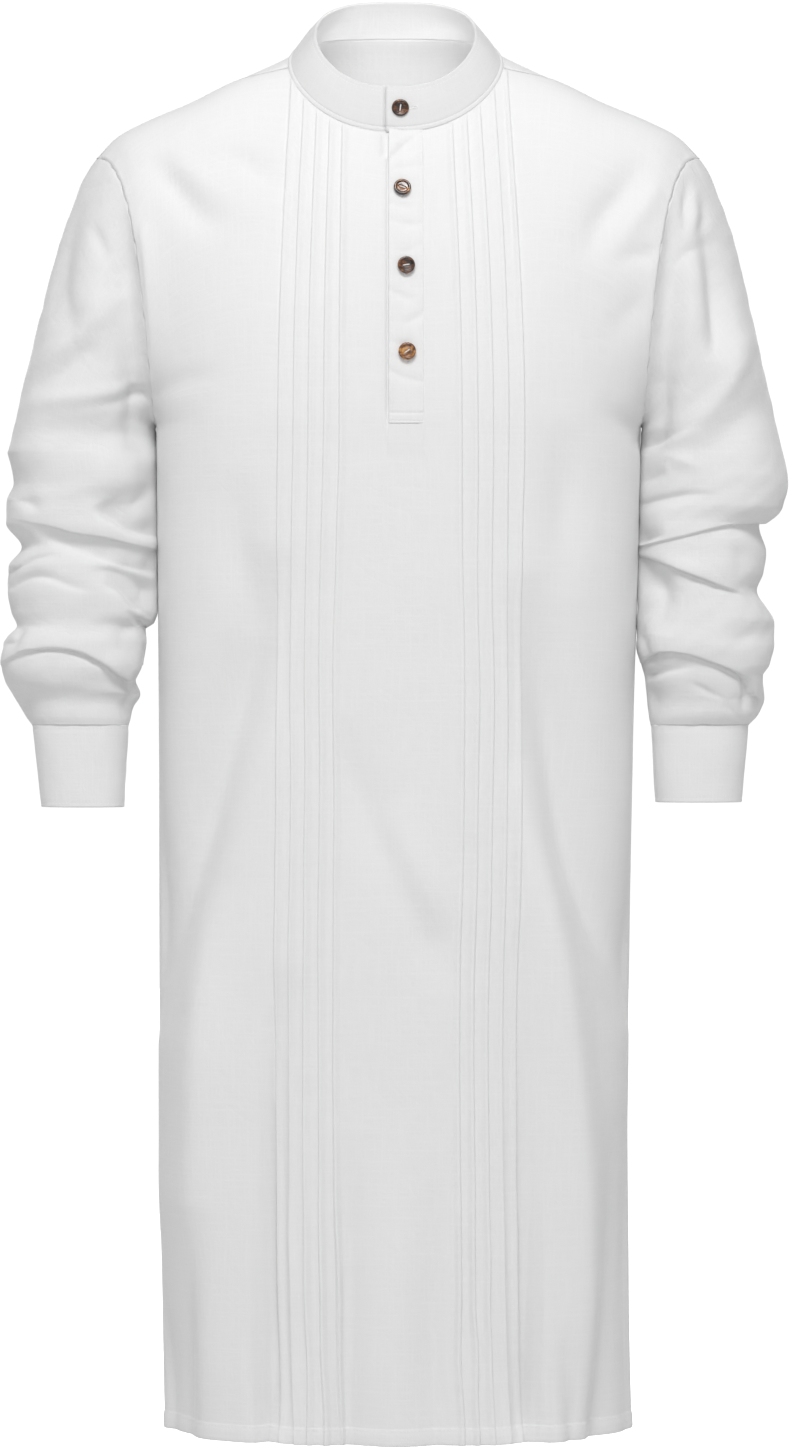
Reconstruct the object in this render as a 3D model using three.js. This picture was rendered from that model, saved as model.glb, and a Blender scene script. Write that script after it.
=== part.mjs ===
// A long kaftan shirt with a stand collar, a half placket with four buttons, five pintucks on each side
// of the front, long sleeves pushed up a little on the forearm, and plain cuffs. It is filled out as if
// worn, with nobody in it: each piece is a cloth wall, open at the neck, the hem and both cuffs.
//
// Millimetres. +Z is up, the front faces -Y and +X is the wearer's left. The origin lies between the two
// points where the shoulder seams meet the collar, where a wearer's neck would hold the shirt.
import * as THREE from "three";

// ---------------------------------------------------------------- driving sizes
const CLOTH = 1.5; // wall of the panels, sleeves and placket
const BAND = 1.8; // wall of the collar and cuffs, which are doubled cloth
const GAP = 0.4; // between two pieces that are sewn to each other
const HEM = { z: -1130, depth: 14, lift: 0.8 }; // the hem is turned up, so it is thicker
const ARMPIT = { z: -300 };
const SHOULDER = { x: 250 }; // where the shoulder seam meets the sleeve
const SECTION_POWER = 2.35; // squareness of a level cut through the body

// Half widths and half depths of the body at each height, below the armpits.
const BODY = [
  { z: -300, right: 200.5, left: 201.5, front: 126, back: 110 },
  { z: -420, right: 199.5, left: 199, front: 124, back: 106 },
  { z: -540, right: 198.5, left: 195.5, front: 121, back: 103 },
  { z: -700, right: 198, left: 192.5, front: 119, back: 102 },
  { z: -860, right: 197.5, left: 190.5, front: 118, back: 103 },
  { z: -1000, right: 196, left: 191.5, front: 119, back: 105 },
  { z: -1130, right: 193.5, left: 193.5, front: 121, back: 108 },
];

// The shoulder seam, from the collar out to the sleeve.
const SHOULDER_SEAM = [
  { x: 86, y: -9, z: 0 },
  { x: 131, y: -9, z: -13.5 },
  { x: 170, y: -8, z: -32 },
  { x: 207, y: -6, z: -47 },
  { x: 232, y: -5, z: -60 },
  { x: 250, y: -4, z: -78 },
];

// Two rings carry the collar. Each one's height is level + tilt * cos(turn) + dip * cos(turn)^2, with
// turn 0 at the front.
const COLLAR = {
  centre: -2,
  base: { wide: 88, front: -66, back: 58, level: 1, tilt: -46, dip: -17, power: 2.2 },
  top: { wide: 67, front: -60, back: 46, level: 27, tilt: -41.5, dip: -9.5, power: 2.5 },
  overEnd: -9.7, // x of the buttonhole end, which lies on top
  underEnd: 17, // x of the button end, which lies beneath it
};

// Pintucks: five a side, at these centres and spacings down the front.
const TUCKS = { each: 5, foot: 2.3, lift: 2.0 };
const TUCK_LINES = [
  { z: 0, right: -64, rightStep: 10.6, left: 66, leftStep: 11.4 },
  { z: -91, right: -66, rightStep: 10.9, left: 68.5, leftStep: 11.7 },
  { z: -285, right: -70, rightStep: 12.4, left: 75, leftStep: 12.7 },
  { z: -406, right: -73, rightStep: 12.1, left: 74.5, leftStep: 12.1 },
  { z: -527, right: -73.7, rightStep: 11.6, left: 75.7, leftStep: 11.7 },
  { z: -850, right: -75, rightStep: 12.2, left: 71, leftStep: 11.6 },
  { z: -1130, right: -71.5, rightStep: 11.8, left: 75.5, leftStep: 12.2 },
];

// The half placket. The front is cut away beneath it, and the under placket closes the cut from inside.
// Heights on a panel run from 0 at the hem to 1 at the armpits and 2 at the neckline.
const PLACKET = { middle: 6.5, wide: 28, foot: 1.002, head: 1.985, above: 0.35, cutWide: 20 };
const UNDER_PLACKET = { wide: 30, footZ: -324, beneath: 0.5 };
const BUTTON = { across: 14.2, thick: 3, rim: 1.6, dish: 1.1, offCollar: 0.6, offPlacket: 0.35 };
const BUTTON_PLACES = [
  { name: "button_1", x: 1.6, z: -43, on: "collar" },
  { name: "button_2", x: 3.2, z: -112, on: "placket" },
  { name: "button_3", x: 6.4, z: -176, on: "placket" },
  { name: "button_4", x: 7.3, z: -246, on: "placket" },
];

// Outlines of the hanging part of each sleeve, measured from the middle of the shirt, and its depths.
const SLEEVE_START = -322;
const SLEEVE_END = -546.5;
const SLEEVES = {
  left: [
    { z: -322, outer: 319, inner: 204, front: -66, back: 58 },
    { z: -343, outer: 323, inner: 203, front: -67, back: 57 },
    { z: -366, outer: 317, inner: 201.8, front: -66, back: 55 },
    { z: -382, outer: 299, inner: 201.2, front: -62, back: 53 },
    { z: -404, outer: 305, inner: 200.8, front: -64, back: 50 },
    { z: -421, outer: 302.5, inner: 200.5, front: -66, back: 47 },
    { z: -436, outer: 297, inner: 200, front: -64, back: 44 },
    { z: -463, outer: 311, inner: 199.2, front: -66, back: 43 },
    { z: -480, outer: 311, inner: 199, front: -67, back: 39 },
    { z: -497, outer: 306.5, inner: 201.6, front: -64, back: 36 },
    { z: -506, outer: 300, inner: 203.5, front: -63, back: 34 },
    { z: -524, outer: 303, inner: 205.5, front: -64, back: 31 },
    { z: -536, outer: 299.5, inner: 207, front: -60, back: 26 },
    { z: -546.5, outer: 290.5, inner: 208.3, front: -52, back: 19 },
  ],
  right: [
    { z: -322, outer: 324, inner: 203, front: -66, back: 58 },
    { z: -347, outer: 318, inner: 202.2, front: -66, back: 57 },
    { z: -362, outer: 324, inner: 201.8, front: -66, back: 56 },
    { z: -380, outer: 324.5, inner: 201.5, front: -65, back: 54 },
    { z: -400, outer: 312, inner: 201.5, front: -62, back: 51 },
    { z: -417, outer: 322.5, inner: 201.3, front: -66, back: 49 },
    { z: -437, outer: 323, inner: 201.3, front: -67, back: 46 },
    { z: -454, outer: 319, inner: 203.5, front: -65, back: 44 },
    { z: -466, outer: 314, inner: 214.5, front: -63, back: 42 },
    { z: -480, outer: 326, inner: 211, front: -66, back: 41 },
    { z: -497, outer: 328, inner: 211.5, front: -67, back: 39 },
    { z: -511, outer: 325, inner: 217, front: -65, back: 36 },
    { z: -522, outer: 319, inner: 213.5, front: -63, back: 33 },
    { z: -533, outer: 312, inner: 219, front: -60, back: 27 },
    { z: -546.5, outer: 303, inner: 222, front: -54, back: 18 },
  ],
};

// Cuffs: a short cone below each sleeve, from its top ring to its lower edge.
const CUFFS = {
  left: {
    top: { z: -547.2, outer: 290.5, inner: 208.3, front: -51, back: 18 },
    low: { z: -611, outer: 285, inner: 212, front: -48, back: 15 },
  },
  right: {
    top: { z: -547.2, outer: 303, inner: 222, front: -53, back: 17 },
    low: { z: -615, outer: 295.5, inner: 225.5, front: -50, back: 14 },
  },
};

// Folds of the body, as soft troughs: each runs from one end to the other, bowed sideways by bow, sunk by
// depth (raised where it is negative) and fades at both ends. x and z are those of the front or back view.
const FRONT_FOLDS = [
  { x1: -205, z1: -88, x2: -150, z2: -150, bow: 6, depth: 4, wide: 13 },
  { x1: -150, z1: -70, x2: -84, z2: -118, bow: 5, depth: 3, wide: 14 },
  { x1: 196, z1: -88, x2: 140, z2: -200, bow: -8, depth: 5, wide: 14 },
  { x1: 172, z1: -84, x2: 118, z2: -190, bow: -6, depth: -3, wide: 15 },
  { x1: -190, z1: -300, x2: -120, z2: -210, bow: 6, depth: 3, wide: 16 },
  { x1: 190, z1: -310, x2: 128, z2: -230, bow: -6, depth: 3, wide: 16 },
  { x1: -104, z1: -260, x2: -116, z2: -1190, bow: 22, depth: 5, wide: 26 },
  { x1: 104, z1: -280, x2: 176, z2: -900, bow: -14, depth: 6, wide: 26 },
  { x1: 150, z1: -620, x2: 150, z2: -1190, bow: 6, depth: -4, wide: 28 },
  { x1: 96, z1: -900, x2: 110, z2: -1210, bow: 4, depth: 6, wide: 18 },
  { x1: -158, z1: -700, x2: -160, z2: -1200, bow: -6, depth: -4, wide: 24 },
  { x1: 10, z1: -560, x2: 2, z2: -1210, bow: 8, depth: 4, wide: 34 },
];
const BACK_FOLDS = [
  { x1: -196, z1: -100, x2: -120, z2: -190, bow: 8, depth: 4, wide: 15 },
  { x1: 198, z1: -96, x2: 124, z2: -186, bow: -8, depth: 4, wide: 15 },
  { x1: -70, z1: -60, x2: -84, z2: -330, bow: 10, depth: 3, wide: 24 },
  { x1: 74, z1: -64, x2: 90, z2: -360, bow: -8, depth: 3, wide: 24 },
  { x1: -86, z1: -420, x2: -104, z2: -1200, bow: -14, depth: 6, wide: 28 },
  { x1: 4, z1: -500, x2: -8, z2: -1210, bow: 12, depth: 5, wide: 30 },
  { x1: 92, z1: -400, x2: 112, z2: -1200, bow: 16, depth: 6, wide: 28 },
  { x1: -48, z1: -640, x2: -50, z2: -1200, bow: 4, depth: -4, wide: 24 },
  { x1: 52, z1: -600, x2: 58, z2: -1200, bow: -4, depth: -4, wide: 24 },
];

// Folds of the sleeves. across runs from -1 at the outer edge to 1 at the edge next to the body, as seen
// from the front (or from behind, where face is "back").
const SLEEVE_FOLDS = {
  left: [
    { face: "front", across1: 1.1, z1: -318, across2: -0.1, z2: -290, bow: -3, depth: 6, wide: 7 },
    { face: "front", across1: 1.05, z1: -364, across2: -0.5, z2: -350, bow: -4, depth: 4, wide: 10 },
    { face: "front", across1: 1.1, z1: -399, across2: -1.1, z2: -374, bow: -4, depth: 8, wide: 8 },
    { face: "front", across1: 1.1, z1: -410, across2: -1.1, z2: -440, bow: 3, depth: 7, wide: 8 },
    { face: "front", across1: 0.9, z1: -452, across2: -0.7, z2: -470, bow: 5, depth: -5, wide: 14 },
    { face: "front", across1: 1.1, z1: -497, across2: -1.1, z2: -506, bow: 12, depth: 8, wide: 7 },
    { face: "front", across1: 0.4, z1: -512, across2: -0.6, z2: -526, bow: 2, depth: 5, wide: 6 },
    { face: "back", across1: 1.0, z1: -352, across2: -1.0, z2: -372, bow: -5, depth: 7, wide: 9 },
    { face: "back", across1: 1.0, z1: -404, across2: -1.1, z2: -420, bow: 6, depth: 7, wide: 9 },
    { face: "back", across1: 1.1, z1: -462, across2: -1.0, z2: -440, bow: 5, depth: 7, wide: 8 },
    { face: "back", across1: 1.0, z1: -494, across2: -1.1, z2: -508, bow: 6, depth: 7, wide: 8 },
  ],
  right: [
    { face: "front", across1: 0.9, z1: -388, across2: 0.1, z2: -360, bow: -3, depth: 8, wide: 9 },
    { face: "front", across1: 1.1, z1: -403, across2: -0.8, z2: -379, bow: -13, depth: 7, wide: 7 },
    { face: "front", across1: -0.2, z1: -412, across2: -1.1, z2: -402, bow: 0, depth: 5, wide: 7 },
    { face: "front", across1: 1.1, z1: -463, across2: -1.1, z2: -424, bow: 11, depth: 8, wide: 8 },
    { face: "front", across1: 0.8, z1: -480, across2: -0.6, z2: -458, bow: 6, depth: -5, wide: 13 },
    { face: "front", across1: 1.1, z1: -524, across2: -1.1, z2: -484, bow: 12, depth: 8, wide: 7 },
    { face: "front", across1: 0.5, z1: -528, across2: -0.9, z2: -512, bow: 5, depth: 4, wide: 7 },
    { face: "back", across1: 1.0, z1: -360, across2: -1.0, z2: -344, bow: -5, depth: 6, wide: 9 },
    { face: "back", across1: 1.0, z1: -400, across2: -1.1, z2: -408, bow: 7, depth: 7, wide: 9 },
    { face: "back", across1: 1.1, z1: -440, across2: -1.0, z2: -462, bow: 5, depth: 7, wide: 8 },
    { face: "back", across1: 1.0, z1: -500, across2: -1.1, z2: -492, bow: 6, depth: 7, wide: 8 },
  ],
};

// ---------------------------------------------------------------- small vector and table helpers
const lerp = (a, b, t) => a + (b - a) * t;
const clamp01 = (t) => Math.min(1, Math.max(0, t));
const smooth = (t) => clamp01(t) ** 2 * (3 - 2 * clamp01(t));
const add = (p, q, scale = 1) => p.map((v, k) => v + q[k] * scale);
const minus = (p, q) => p.map((v, k) => v - q[k]);
const blend = (p, q, t) => p.map((v, k) => lerp(v, q[k], t));
const dot = (p, q) => p[0] * q[0] + p[1] * q[1] + p[2] * q[2];
const cross = (p, q) => [
  p[1] * q[2] - p[2] * q[1],
  p[2] * q[0] - p[0] * q[2],
  p[0] * q[1] - p[1] * q[0],
];
const unit = (p) => p.map((v) => v / Math.hypot(...p));
const steps = (count, value) => Array.from({ length: count + 1 }, (_, k) => value(k / count));

// A value from a table, by a curve through its rows that never swings past them.
function fromTable(rows, key, at, column) {
  const sign = rows[1][key] > rows[0][key] ? 1 : -1;
  const a = rows.map((r) => r[key] * sign);
  const v = rows.map((r) => r[column]);
  const x = at * sign;
  const last = rows.length - 1;
  if (x <= a[0]) return v[0];
  if (x >= a[last]) return v[last];
  const slope = (k) => (v[k + 1] - v[k]) / (a[k + 1] - a[k]);
  const tangent = (k) => {
    if (k === 0) return slope(0);
    if (k === last) return slope(last - 1);
    const before = slope(k - 1);
    const after = slope(k);
    return before * after <= 0 ? 0 : (2 * before * after) / (before + after);
  };
  const k = a.findIndex((edge, n) => n < last && x < a[n + 1] && x >= edge);
  const step = a[k + 1] - a[k];
  const t = (x - a[k]) / step;
  return (
    (1 + 2 * t) * (1 - t) ** 2 * v[k] +
    t * (1 - t) ** 2 * step * tangent(k) +
    t * t * (3 - 2 * t) * v[k + 1] +
    t * t * (t - 1) * step * tangent(k + 1)
  );
}

const bezier = (p, t) => {
  const s = 1 - t;
  const w = [s * s * s, 3 * s * s * t, 3 * s * t * t, t * t * t];
  return [0, 1, 2].map((k) => p.reduce((sum, point, n) => sum + point[k] * w[n], 0));
};

// How far soft folds sink a point that lies at (x, z) in the view that the folds are drawn in.
function foldDepth(folds, x, z) {
  let sum = 0;
  for (const fold of folds) {
    const run = [fold.x2 - fold.x1, fold.z2 - fold.z1];
    const length = Math.hypot(...run);
    const t = ((x - fold.x1) * run[0] + (z - fold.z1) * run[1]) / length ** 2;
    if (t <= 0 || t >= 1) continue;
    const side = ((x - fold.x1) * run[1] - (z - fold.z1) * run[0]) / length - fold.bow * 4 * t * (1 - t);
    sum += fold.depth * Math.exp(-((side / fold.wide) ** 2)) * Math.sin(Math.PI * t) ** 0.8;
  }
  return sum;
}

// ---------------------------------------------------------------- cloth walls
// Normals of a grid of points, pointing to the same side as outward(row, column).
function gridNormals(grid, wraps, outward) {
  const rows = grid.length;
  const columns = grid[0].length;
  return grid.map((line, i) =>
    line.map((_, j) => {
      const up = minus(grid[Math.min(i + 1, rows - 1)][j], grid[Math.max(i - 1, 0)][j]);
      const next = wraps ? line[(j + 1) % columns] : line[Math.min(j + 1, columns - 1)];
      const before = wraps ? line[(j + columns - 1) % columns] : line[Math.max(j - 1, 0)];
      const normal = unit(cross(up, minus(next, before)));
      return dot(normal, outward(i, j)) < 0 ? normal.map((v) => -v) : normal;
    }),
  );
}

const shifted = (grid, normals, amount) =>
  grid.map((line, i) => line.map((p, j) => add(p, normals[i][j], amount(i, j))));

// A closed wall between a grid of outer points and a grid of inner points. Cells named by skip are left
// out, and every free edge is closed.
function wall(outer, inner, { wraps = false, skip = () => false } = {}) {
  const rows = outer.length;
  const columns = outer[0].length;
  const cells = wraps ? columns : columns - 1;
  const there = (i, j) => {
    const column = wraps ? (j + cells) % cells : j;
    return i >= 0 && i < rows - 1 && column >= 0 && column < cells && !skip(i, column);
  };
  const positions = [...outer.flat(), ...inner.flat()].flat();
  const out = (i, j) => i * columns + (j % columns);
  const within = (i, j) => rows * columns + out(i, j);
  const faces = [];
  const quad = (a, b, c, d) => faces.push(a, b, c, a, c, d);
  for (let i = 0; i < rows - 1; i++)
    for (let j = 0; j < cells; j++) {
      if (!there(i, j)) continue;
      quad(out(i, j), out(i, j + 1), out(i + 1, j + 1), out(i + 1, j));
      quad(within(i, j), within(i + 1, j), within(i + 1, j + 1), within(i, j + 1));
      const rim = (i1, j1, i2, j2) => quad(out(i2, j2), out(i1, j1), within(i1, j1), within(i2, j2));
      if (!there(i - 1, j)) rim(i, j, i, j + 1);
      if (!there(i, j + 1)) rim(i, j + 1, i + 1, j + 1);
      if (!there(i + 1, j)) rim(i + 1, j + 1, i + 1, j);
      if (!there(i, j - 1)) rim(i + 1, j, i, j);
    }
  return facingOut(positions, faces);
}

// A geometry whose faces all point out, whichever way round they were made.
function facingOut(positions, faces) {
  const point = (n) => positions.slice(3 * n, 3 * n + 3);
  let volume = 0;
  for (let k = 0; k < faces.length; k += 3)
    volume += dot(point(faces[k]), cross(point(faces[k + 1]), point(faces[k + 2])));
  const turned = volume > 0 ? faces : faces.map((_, k) => faces[k - (k % 3) + 2 - (k % 3)]);
  const geometry = new THREE.BufferGeometry();
  geometry.setAttribute("position", new THREE.Float32BufferAttribute(positions, 3));
  geometry.setIndex(turned);
  geometry.computeVertexNormals();
  return geometry;
}

// ---------------------------------------------------------------- the body's surface
// A point of one of the collar's rings. turn is 0 at the front and grows towards the wearer's left.
function ringPoint(ring, turn) {
  const c = Math.cos(turn);
  const s = Math.sin(turn);
  const round = (v) => Math.sign(v) * Math.abs(v) ** (2 / ring.power);
  const middle = (ring.front + ring.back) / 2;
  const deep = (ring.back - ring.front) / 2;
  return [
    COLLAR.centre + ring.wide * round(s),
    middle - deep * round(c),
    ring.level + ring.tilt * c + ring.dip * c * c,
  ];
}

// The turn at which the front half of the collar's lower ring has a given x.
function turnAt(x) {
  const across = (x - COLLAR.centre) / COLLAR.base.wide;
  return Math.asin(Math.sign(across) * Math.min(1, Math.abs(across)) ** (COLLAR.base.power / 2));
}

const NECK_TURN = 1.5; // where the shoulder seams meet the collar, in radians from the front
const neckPoint = (side) => ringPoint(COLLAR.base, side * NECK_TURN);

// The upper end of the column that reaches x: on the neckline's front, or on the shoulder seam.
function topPoint(x) {
  const neck = neckPoint(Math.sign(x) || 1);
  if (Math.abs(x - COLLAR.centre) < Math.abs(neck[0] - COLLAR.centre))
    return ringPoint(COLLAR.base, turnAt(x));
  const t = (Math.abs(x) - Math.abs(neck[0])) / (SHOULDER.x - Math.abs(neck[0]));
  const seamX = lerp(SHOULDER_SEAM[0].x, SHOULDER.x, clamp01(t));
  const onSeam = ["y", "z"].map((k) => fromTable(SHOULDER_SEAM, "x", seamX, k));
  const start = ["y", "z"].map((k) => SHOULDER_SEAM[0][k]);
  const ease = 1 - smooth(t * 4); // the seam's inner end runs into the neckline's own point
  return [
    x,
    onSeam[0] + (neck[1] - start[0]) * ease,
    onSeam[1] + (neck[2] - start[1]) * ease,
  ];
}

const halfWidth = (side, z) => fromTable(BODY, "z", z, side < 0 ? "right" : "left");

// Depth of the level cut through the body at x, z, below the armpits.
function sectionDepth(x, z, front) {
  const across = Math.min(1, Math.abs(x) / halfWidth(Math.sign(x) || 1, z));
  const round = (1 - across ** SECTION_POWER) ** (1 / SECTION_POWER);
  return front ? -fromTable(BODY, "z", z, "front") * round : fromTable(BODY, "z", z, "back") * round;
}

// Columns of a panel run from the hem to the shoulder seam or neckline. A column of the front's middle
// has its x given by at(z). A column of the back's middle has turn, the place where it meets the collar.
// A column in the side part has out from 0, next to the middle, to 1 at the side seam and the armhole.
const SIDE_START = 103; // where the side part of a panel begins
const NECK_SPREAD = 90; // x that the back's outermost middle columns have below the neck
const fromBack = (turn) => (Math.PI - turn) / (Math.PI - NECK_TURN); // 0 at the back, 1 at the seams

function columnX(column, z) {
  if (column.at) return column.at(z);
  if (column.turn) return NECK_SPREAD * fromBack(column.turn);
  const width = halfWidth(column.side, z);
  const start = Math.asin((SIDE_START / width) ** (SECTION_POWER / 2));
  const angle = lerp(start, Math.PI / 2, column.out);
  return column.side * width * Math.sin(angle) ** (2 / SECTION_POWER);
}

// Handles of the curve that a column follows from the armpit level up to its top. RISE is its lower
// handle, in the middle and at the armhole. Its upper handle lies at a place of its own in the middle
// of the neckline, and at a distance from the shoulder seam further out.
const RISE = {
  front: { middle: [0, 2, 112], edge: [3, -92, 0] },
  back: { middle: [0, 2, 165], edge: [3, 88, 0] },
};
const NECK_HANDLE = { front: { y: -106, z: -102 }, back: { y: 92, z: -10 } };
// out is 0 at the neck and 1 at the sleeve. Next to the neck the cloth follows the collar's own slope.
const SEAM_HANDLES = [
  { out: 0, frontX: 0, frontY: -60, frontZ: -40, backX: 26, backY: 112, backZ: 56 },
  { out: 0.12, frontX: 0, frontY: -70, frontZ: -29, backX: 14, backY: 110, backZ: 46 },
  { out: 0.35, frontX: 0, frontY: -78, frontZ: -17, backX: 4, backY: 102, backZ: 25 },
  { out: 0.7, frontX: -10, frontY: -84, frontZ: -6, backX: -8, backY: 94, backZ: 8 },
  { out: 1, frontX: -43, frontY: -92, frontZ: 0, backX: -36, backY: 88, backZ: 0 },
];

// From a column's top to its upper handle. across is 0 where the seam meets the collar and 1 at the
// sleeve, and nearer is 1 where the seam meets the collar and 0 in the middle of the neckline.
function topHandle(top, side, across, nearer, front) {
  const face = front ? "front" : "back";
  const [x, y, z] = ["X", "Y", "Z"].map((key) => fromTable(SEAM_HANDLES, "out", across, face + key));
  if (across > 0) return [side * x, y, z];
  const neck = neckPoint(side);
  const middle = NECK_HANDLE[face];
  const handleY = lerp(middle.y, neck[1] + y, front ? nearer : nearer ** 2);
  const handleZ = lerp(middle.z, neck[2] + z, nearer ** 1.6);
  return [side * x * nearer ** 2, handleY - top[1], handleZ - top[2]];
}

// Where a column ends, and its upper handle.
function columnTop(column, side, front) {
  if (column.turn) {
    const top = ringPoint(COLLAR.base, column.turn);
    return { top, end: topHandle(top, side, 0, Math.abs(fromBack(column.turn)), front) };
  }
  const x = column.at ? column.at(-30) : side * lerp(SIDE_START, SHOULDER.x, column.out ** 0.85);
  const top = topPoint(x);
  const neck = Math.abs(neckPoint(side)[0]);
  const across = clamp01((Math.abs(x) - neck) / (SHOULDER.x - neck));
  if (across > 0) top[1] += front ? -GAP / 2 : GAP / 2;
  const nearer = Math.min(1, Math.abs(turnAt(x)) / NECK_TURN);
  return { top, end: topHandle(top, side, across, nearer, front) };
}

// A point of the body. height runs from 0 at the hem to 1 at the armpits, and on to 2 at the top.
function bodyPoint(column, height, front) {
  const seam = column.out === 1 ? (front ? -GAP / 2 : GAP / 2) : 0;
  const z = lerp(HEM.z, ARMPIT.z, Math.min(1, height));
  const x = columnX(column, z);
  const low = [x, sectionDepth(x, z, front) + seam, z];
  if (height <= 1) return low;
  const side = Math.sign(x) || 1;
  const { top, end } = columnTop(column, side, front);
  const rise = front ? RISE.front : RISE.back;
  const start = blend(rise.middle, rise.edge, (column.out || 0) ** 2);
  start[0] *= side;
  return bezier([low, add(low, start), add(top, end), top], height - 1);
}

// Rows of a panel: the hem band, the skirt, and the part above the armpits.
const heightOf = (z) => (z - HEM.z) / (ARMPIT.z - HEM.z);
const SKIRT_ROWS = 10;
const UPPER_ROWS = 10;
const hemTop = heightOf(HEM.z + HEM.depth);
const PANEL_HEIGHTS = [
  0,
  hemTop,
  ...steps(SKIRT_ROWS, (t) => lerp(hemTop + 0.001, 1, t)),
  ...steps(UPPER_ROWS, (t) => 1 + t).slice(1),
];

// The thickness of a wall at a seam runs along a direction that both pieces share there.
const neckOutward = (point) => {
  const radial = unit([point[0] - COLLAR.centre, point[1] + 4, 0]);
  return unit(add([0, 0, 0.75], radial));
};

// A panel's points with its folds sunk in, and the directions of its wall's thickness.
function panelGrid(columns, front) {
  const heights = PANEL_HEIGHTS;
  const base = heights.map((h) => columns.map((c) => bodyPoint(c, h, front)));
  const outward = (i, j) => {
    const p = base[i][j];
    return [p[0] * 0.6, front ? -120 : 120, heights[i] > 1 ? 60 : 0];
  };
  const folds = front ? FRONT_FOLDS : BACK_FOLDS;
  const flat = gridNormals(base, false, outward);
  // Folds fade towards the seams, which keep their line.
  const calm = (i, j) => {
    const top = smooth((2 - heights[i]) * 6);
    return top * smooth((1 - (columns[j].out || 0)) * 4);
  };
  const sunk = shifted(base, flat, (i, j) => -foldDepth(folds, base[i][j][0], base[i][j][2]) * calm(i, j));
  const normals = gridNormals(sunk, false, outward).map((line, i) =>
    line.map((normal, j) => {
      const column = columns[j];
      if (column.out === 1 && heights[i] <= 1) {
        const under = heights[i] === 1 ? -0.6 : 0; // at the armpit the wall turns under the sleeve
        return unit([column.side, 0, under]);
      }
      const shared = column.out === 1 && armholeOutward(column.side, front, heights[i] - 1);
      if (shared) return heights[i] === 2 ? shared : blendNormal(normal, shared);
      if (heights[i] < 2) return normal;
      const p = base[i][j];
      const onNeck = Math.abs(p[0] - COLLAR.centre) <= Math.abs(neckPoint(1)[0] - COLLAR.centre) + 0.01;
      return onNeck ? neckOutward(p) : unit([Math.sign(p[0]) * 0.45, 0.1, 1]);
    }),
  );
  return { sunk, normals, heights };
}

// Across the armhole seam the walls of the panel and of the sleeve point away from the sleeve's axis.
const SLEEVE_AXIS = unit([0.72, 0, -0.69]);
function armholeOutward(side, front, t) {
  if (t > 0.999) return unit([side * 0.69, 0, 0.72]);
  const edge = { side, out: 1 };
  const before = bodyPoint(edge, 1 + Math.max(0, t - 0.01), front);
  const after = bodyPoint(edge, 1 + Math.min(1, t + 0.01), front);
  const axis = [SLEEVE_AXIS[0] * side, 0, SLEEVE_AXIS[2]];
  const across = unit(cross(minus(after, before), axis));
  const point = bodyPoint(edge, 1 + t, front);
  const radial = minus(point, [212 * side, 0, -190]);
  return dot(across, radial) < 0 ? across.map((v) => -v) : across;
}
const blendNormal = (own, shared) => unit(add(own.map((v) => v * 0.2), shared, 0.8));

// ---------------------------------------------------------------- front and back
const tuckX = (side, n, z) => {
  const key = side < 0 ? "right" : "left";
  const middle = fromTable(TUCK_LINES, "z", z, key);
  return middle + side * (n - (TUCKS.each - 1) / 2) * fromTable(TUCK_LINES, "z", z, key + "Step");
};

function sideColumns(side, count) {
  const columns = steps(count, (t) => ({ side, out: t }));
  return side < 0 ? columns.reverse() : columns;
}

function frontColumns() {
  const tucks = (side) => {
    const list = [];
    for (let n = 0; n < TUCKS.each; n++)
      for (const foot of [-TUCKS.foot, 0, TUCKS.foot])
        list.push({ at: (z) => tuckX(side, n, z) + side * foot, crest: foot === 0 });
    return side < 0 ? list.reverse() : list;
  };
  const straight = (x) => ({ at: () => x });
  const cutLeft = PLACKET.middle - PLACKET.cutWide / 2;
  const cutRight = PLACKET.middle + PLACKET.cutWide / 2;
  return [
    ...sideColumns(-1, 6),
    ...tucks(-1),
    straight(-24),
    straight(cutLeft),
    straight(cutRight),
    straight(32),
    ...tucks(1),
    ...sideColumns(1, 6),
  ];
}

function frontPanel() {
  const columns = frontColumns();
  const { sunk, normals, heights } = panelGrid(columns, true);
  const hem = (i) => (i < 2 ? HEM.lift : 0);
  const tuck = (i, j) => (columns[j].crest ? TUCKS.lift * smooth((2 - heights[i]) * 12) : 0);
  const outer = shifted(sunk, normals, (i, j) => hem(i) + tuck(i, j));
  const inner = shifted(sunk, normals, () => -CLOTH);
  const cutColumn = columns.findIndex((c) => c.at && c.at(0) === PLACKET.middle - PLACKET.cutWide / 2);
  return wall(outer, inner, { skip: (i, j) => j === cutColumn && heights[i] >= 1 });
}

const BACK_COLUMNS = 14; // steps between the columns that meet the collar

function backPanel() {
  const columns = [
    ...sideColumns(-1, 6),
    ...steps(BACK_COLUMNS, (t) => ({ turn: lerp(2 * Math.PI - NECK_TURN, NECK_TURN, t) })),
    ...sideColumns(1, 6),
  ];
  const { sunk, normals } = panelGrid(columns, false);
  const outer = shifted(sunk, normals, (i) => (i < 2 ? HEM.lift : 0));
  const inner = shifted(sunk, normals, () => -CLOTH);
  return wall(outer, inner);
}

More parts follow.
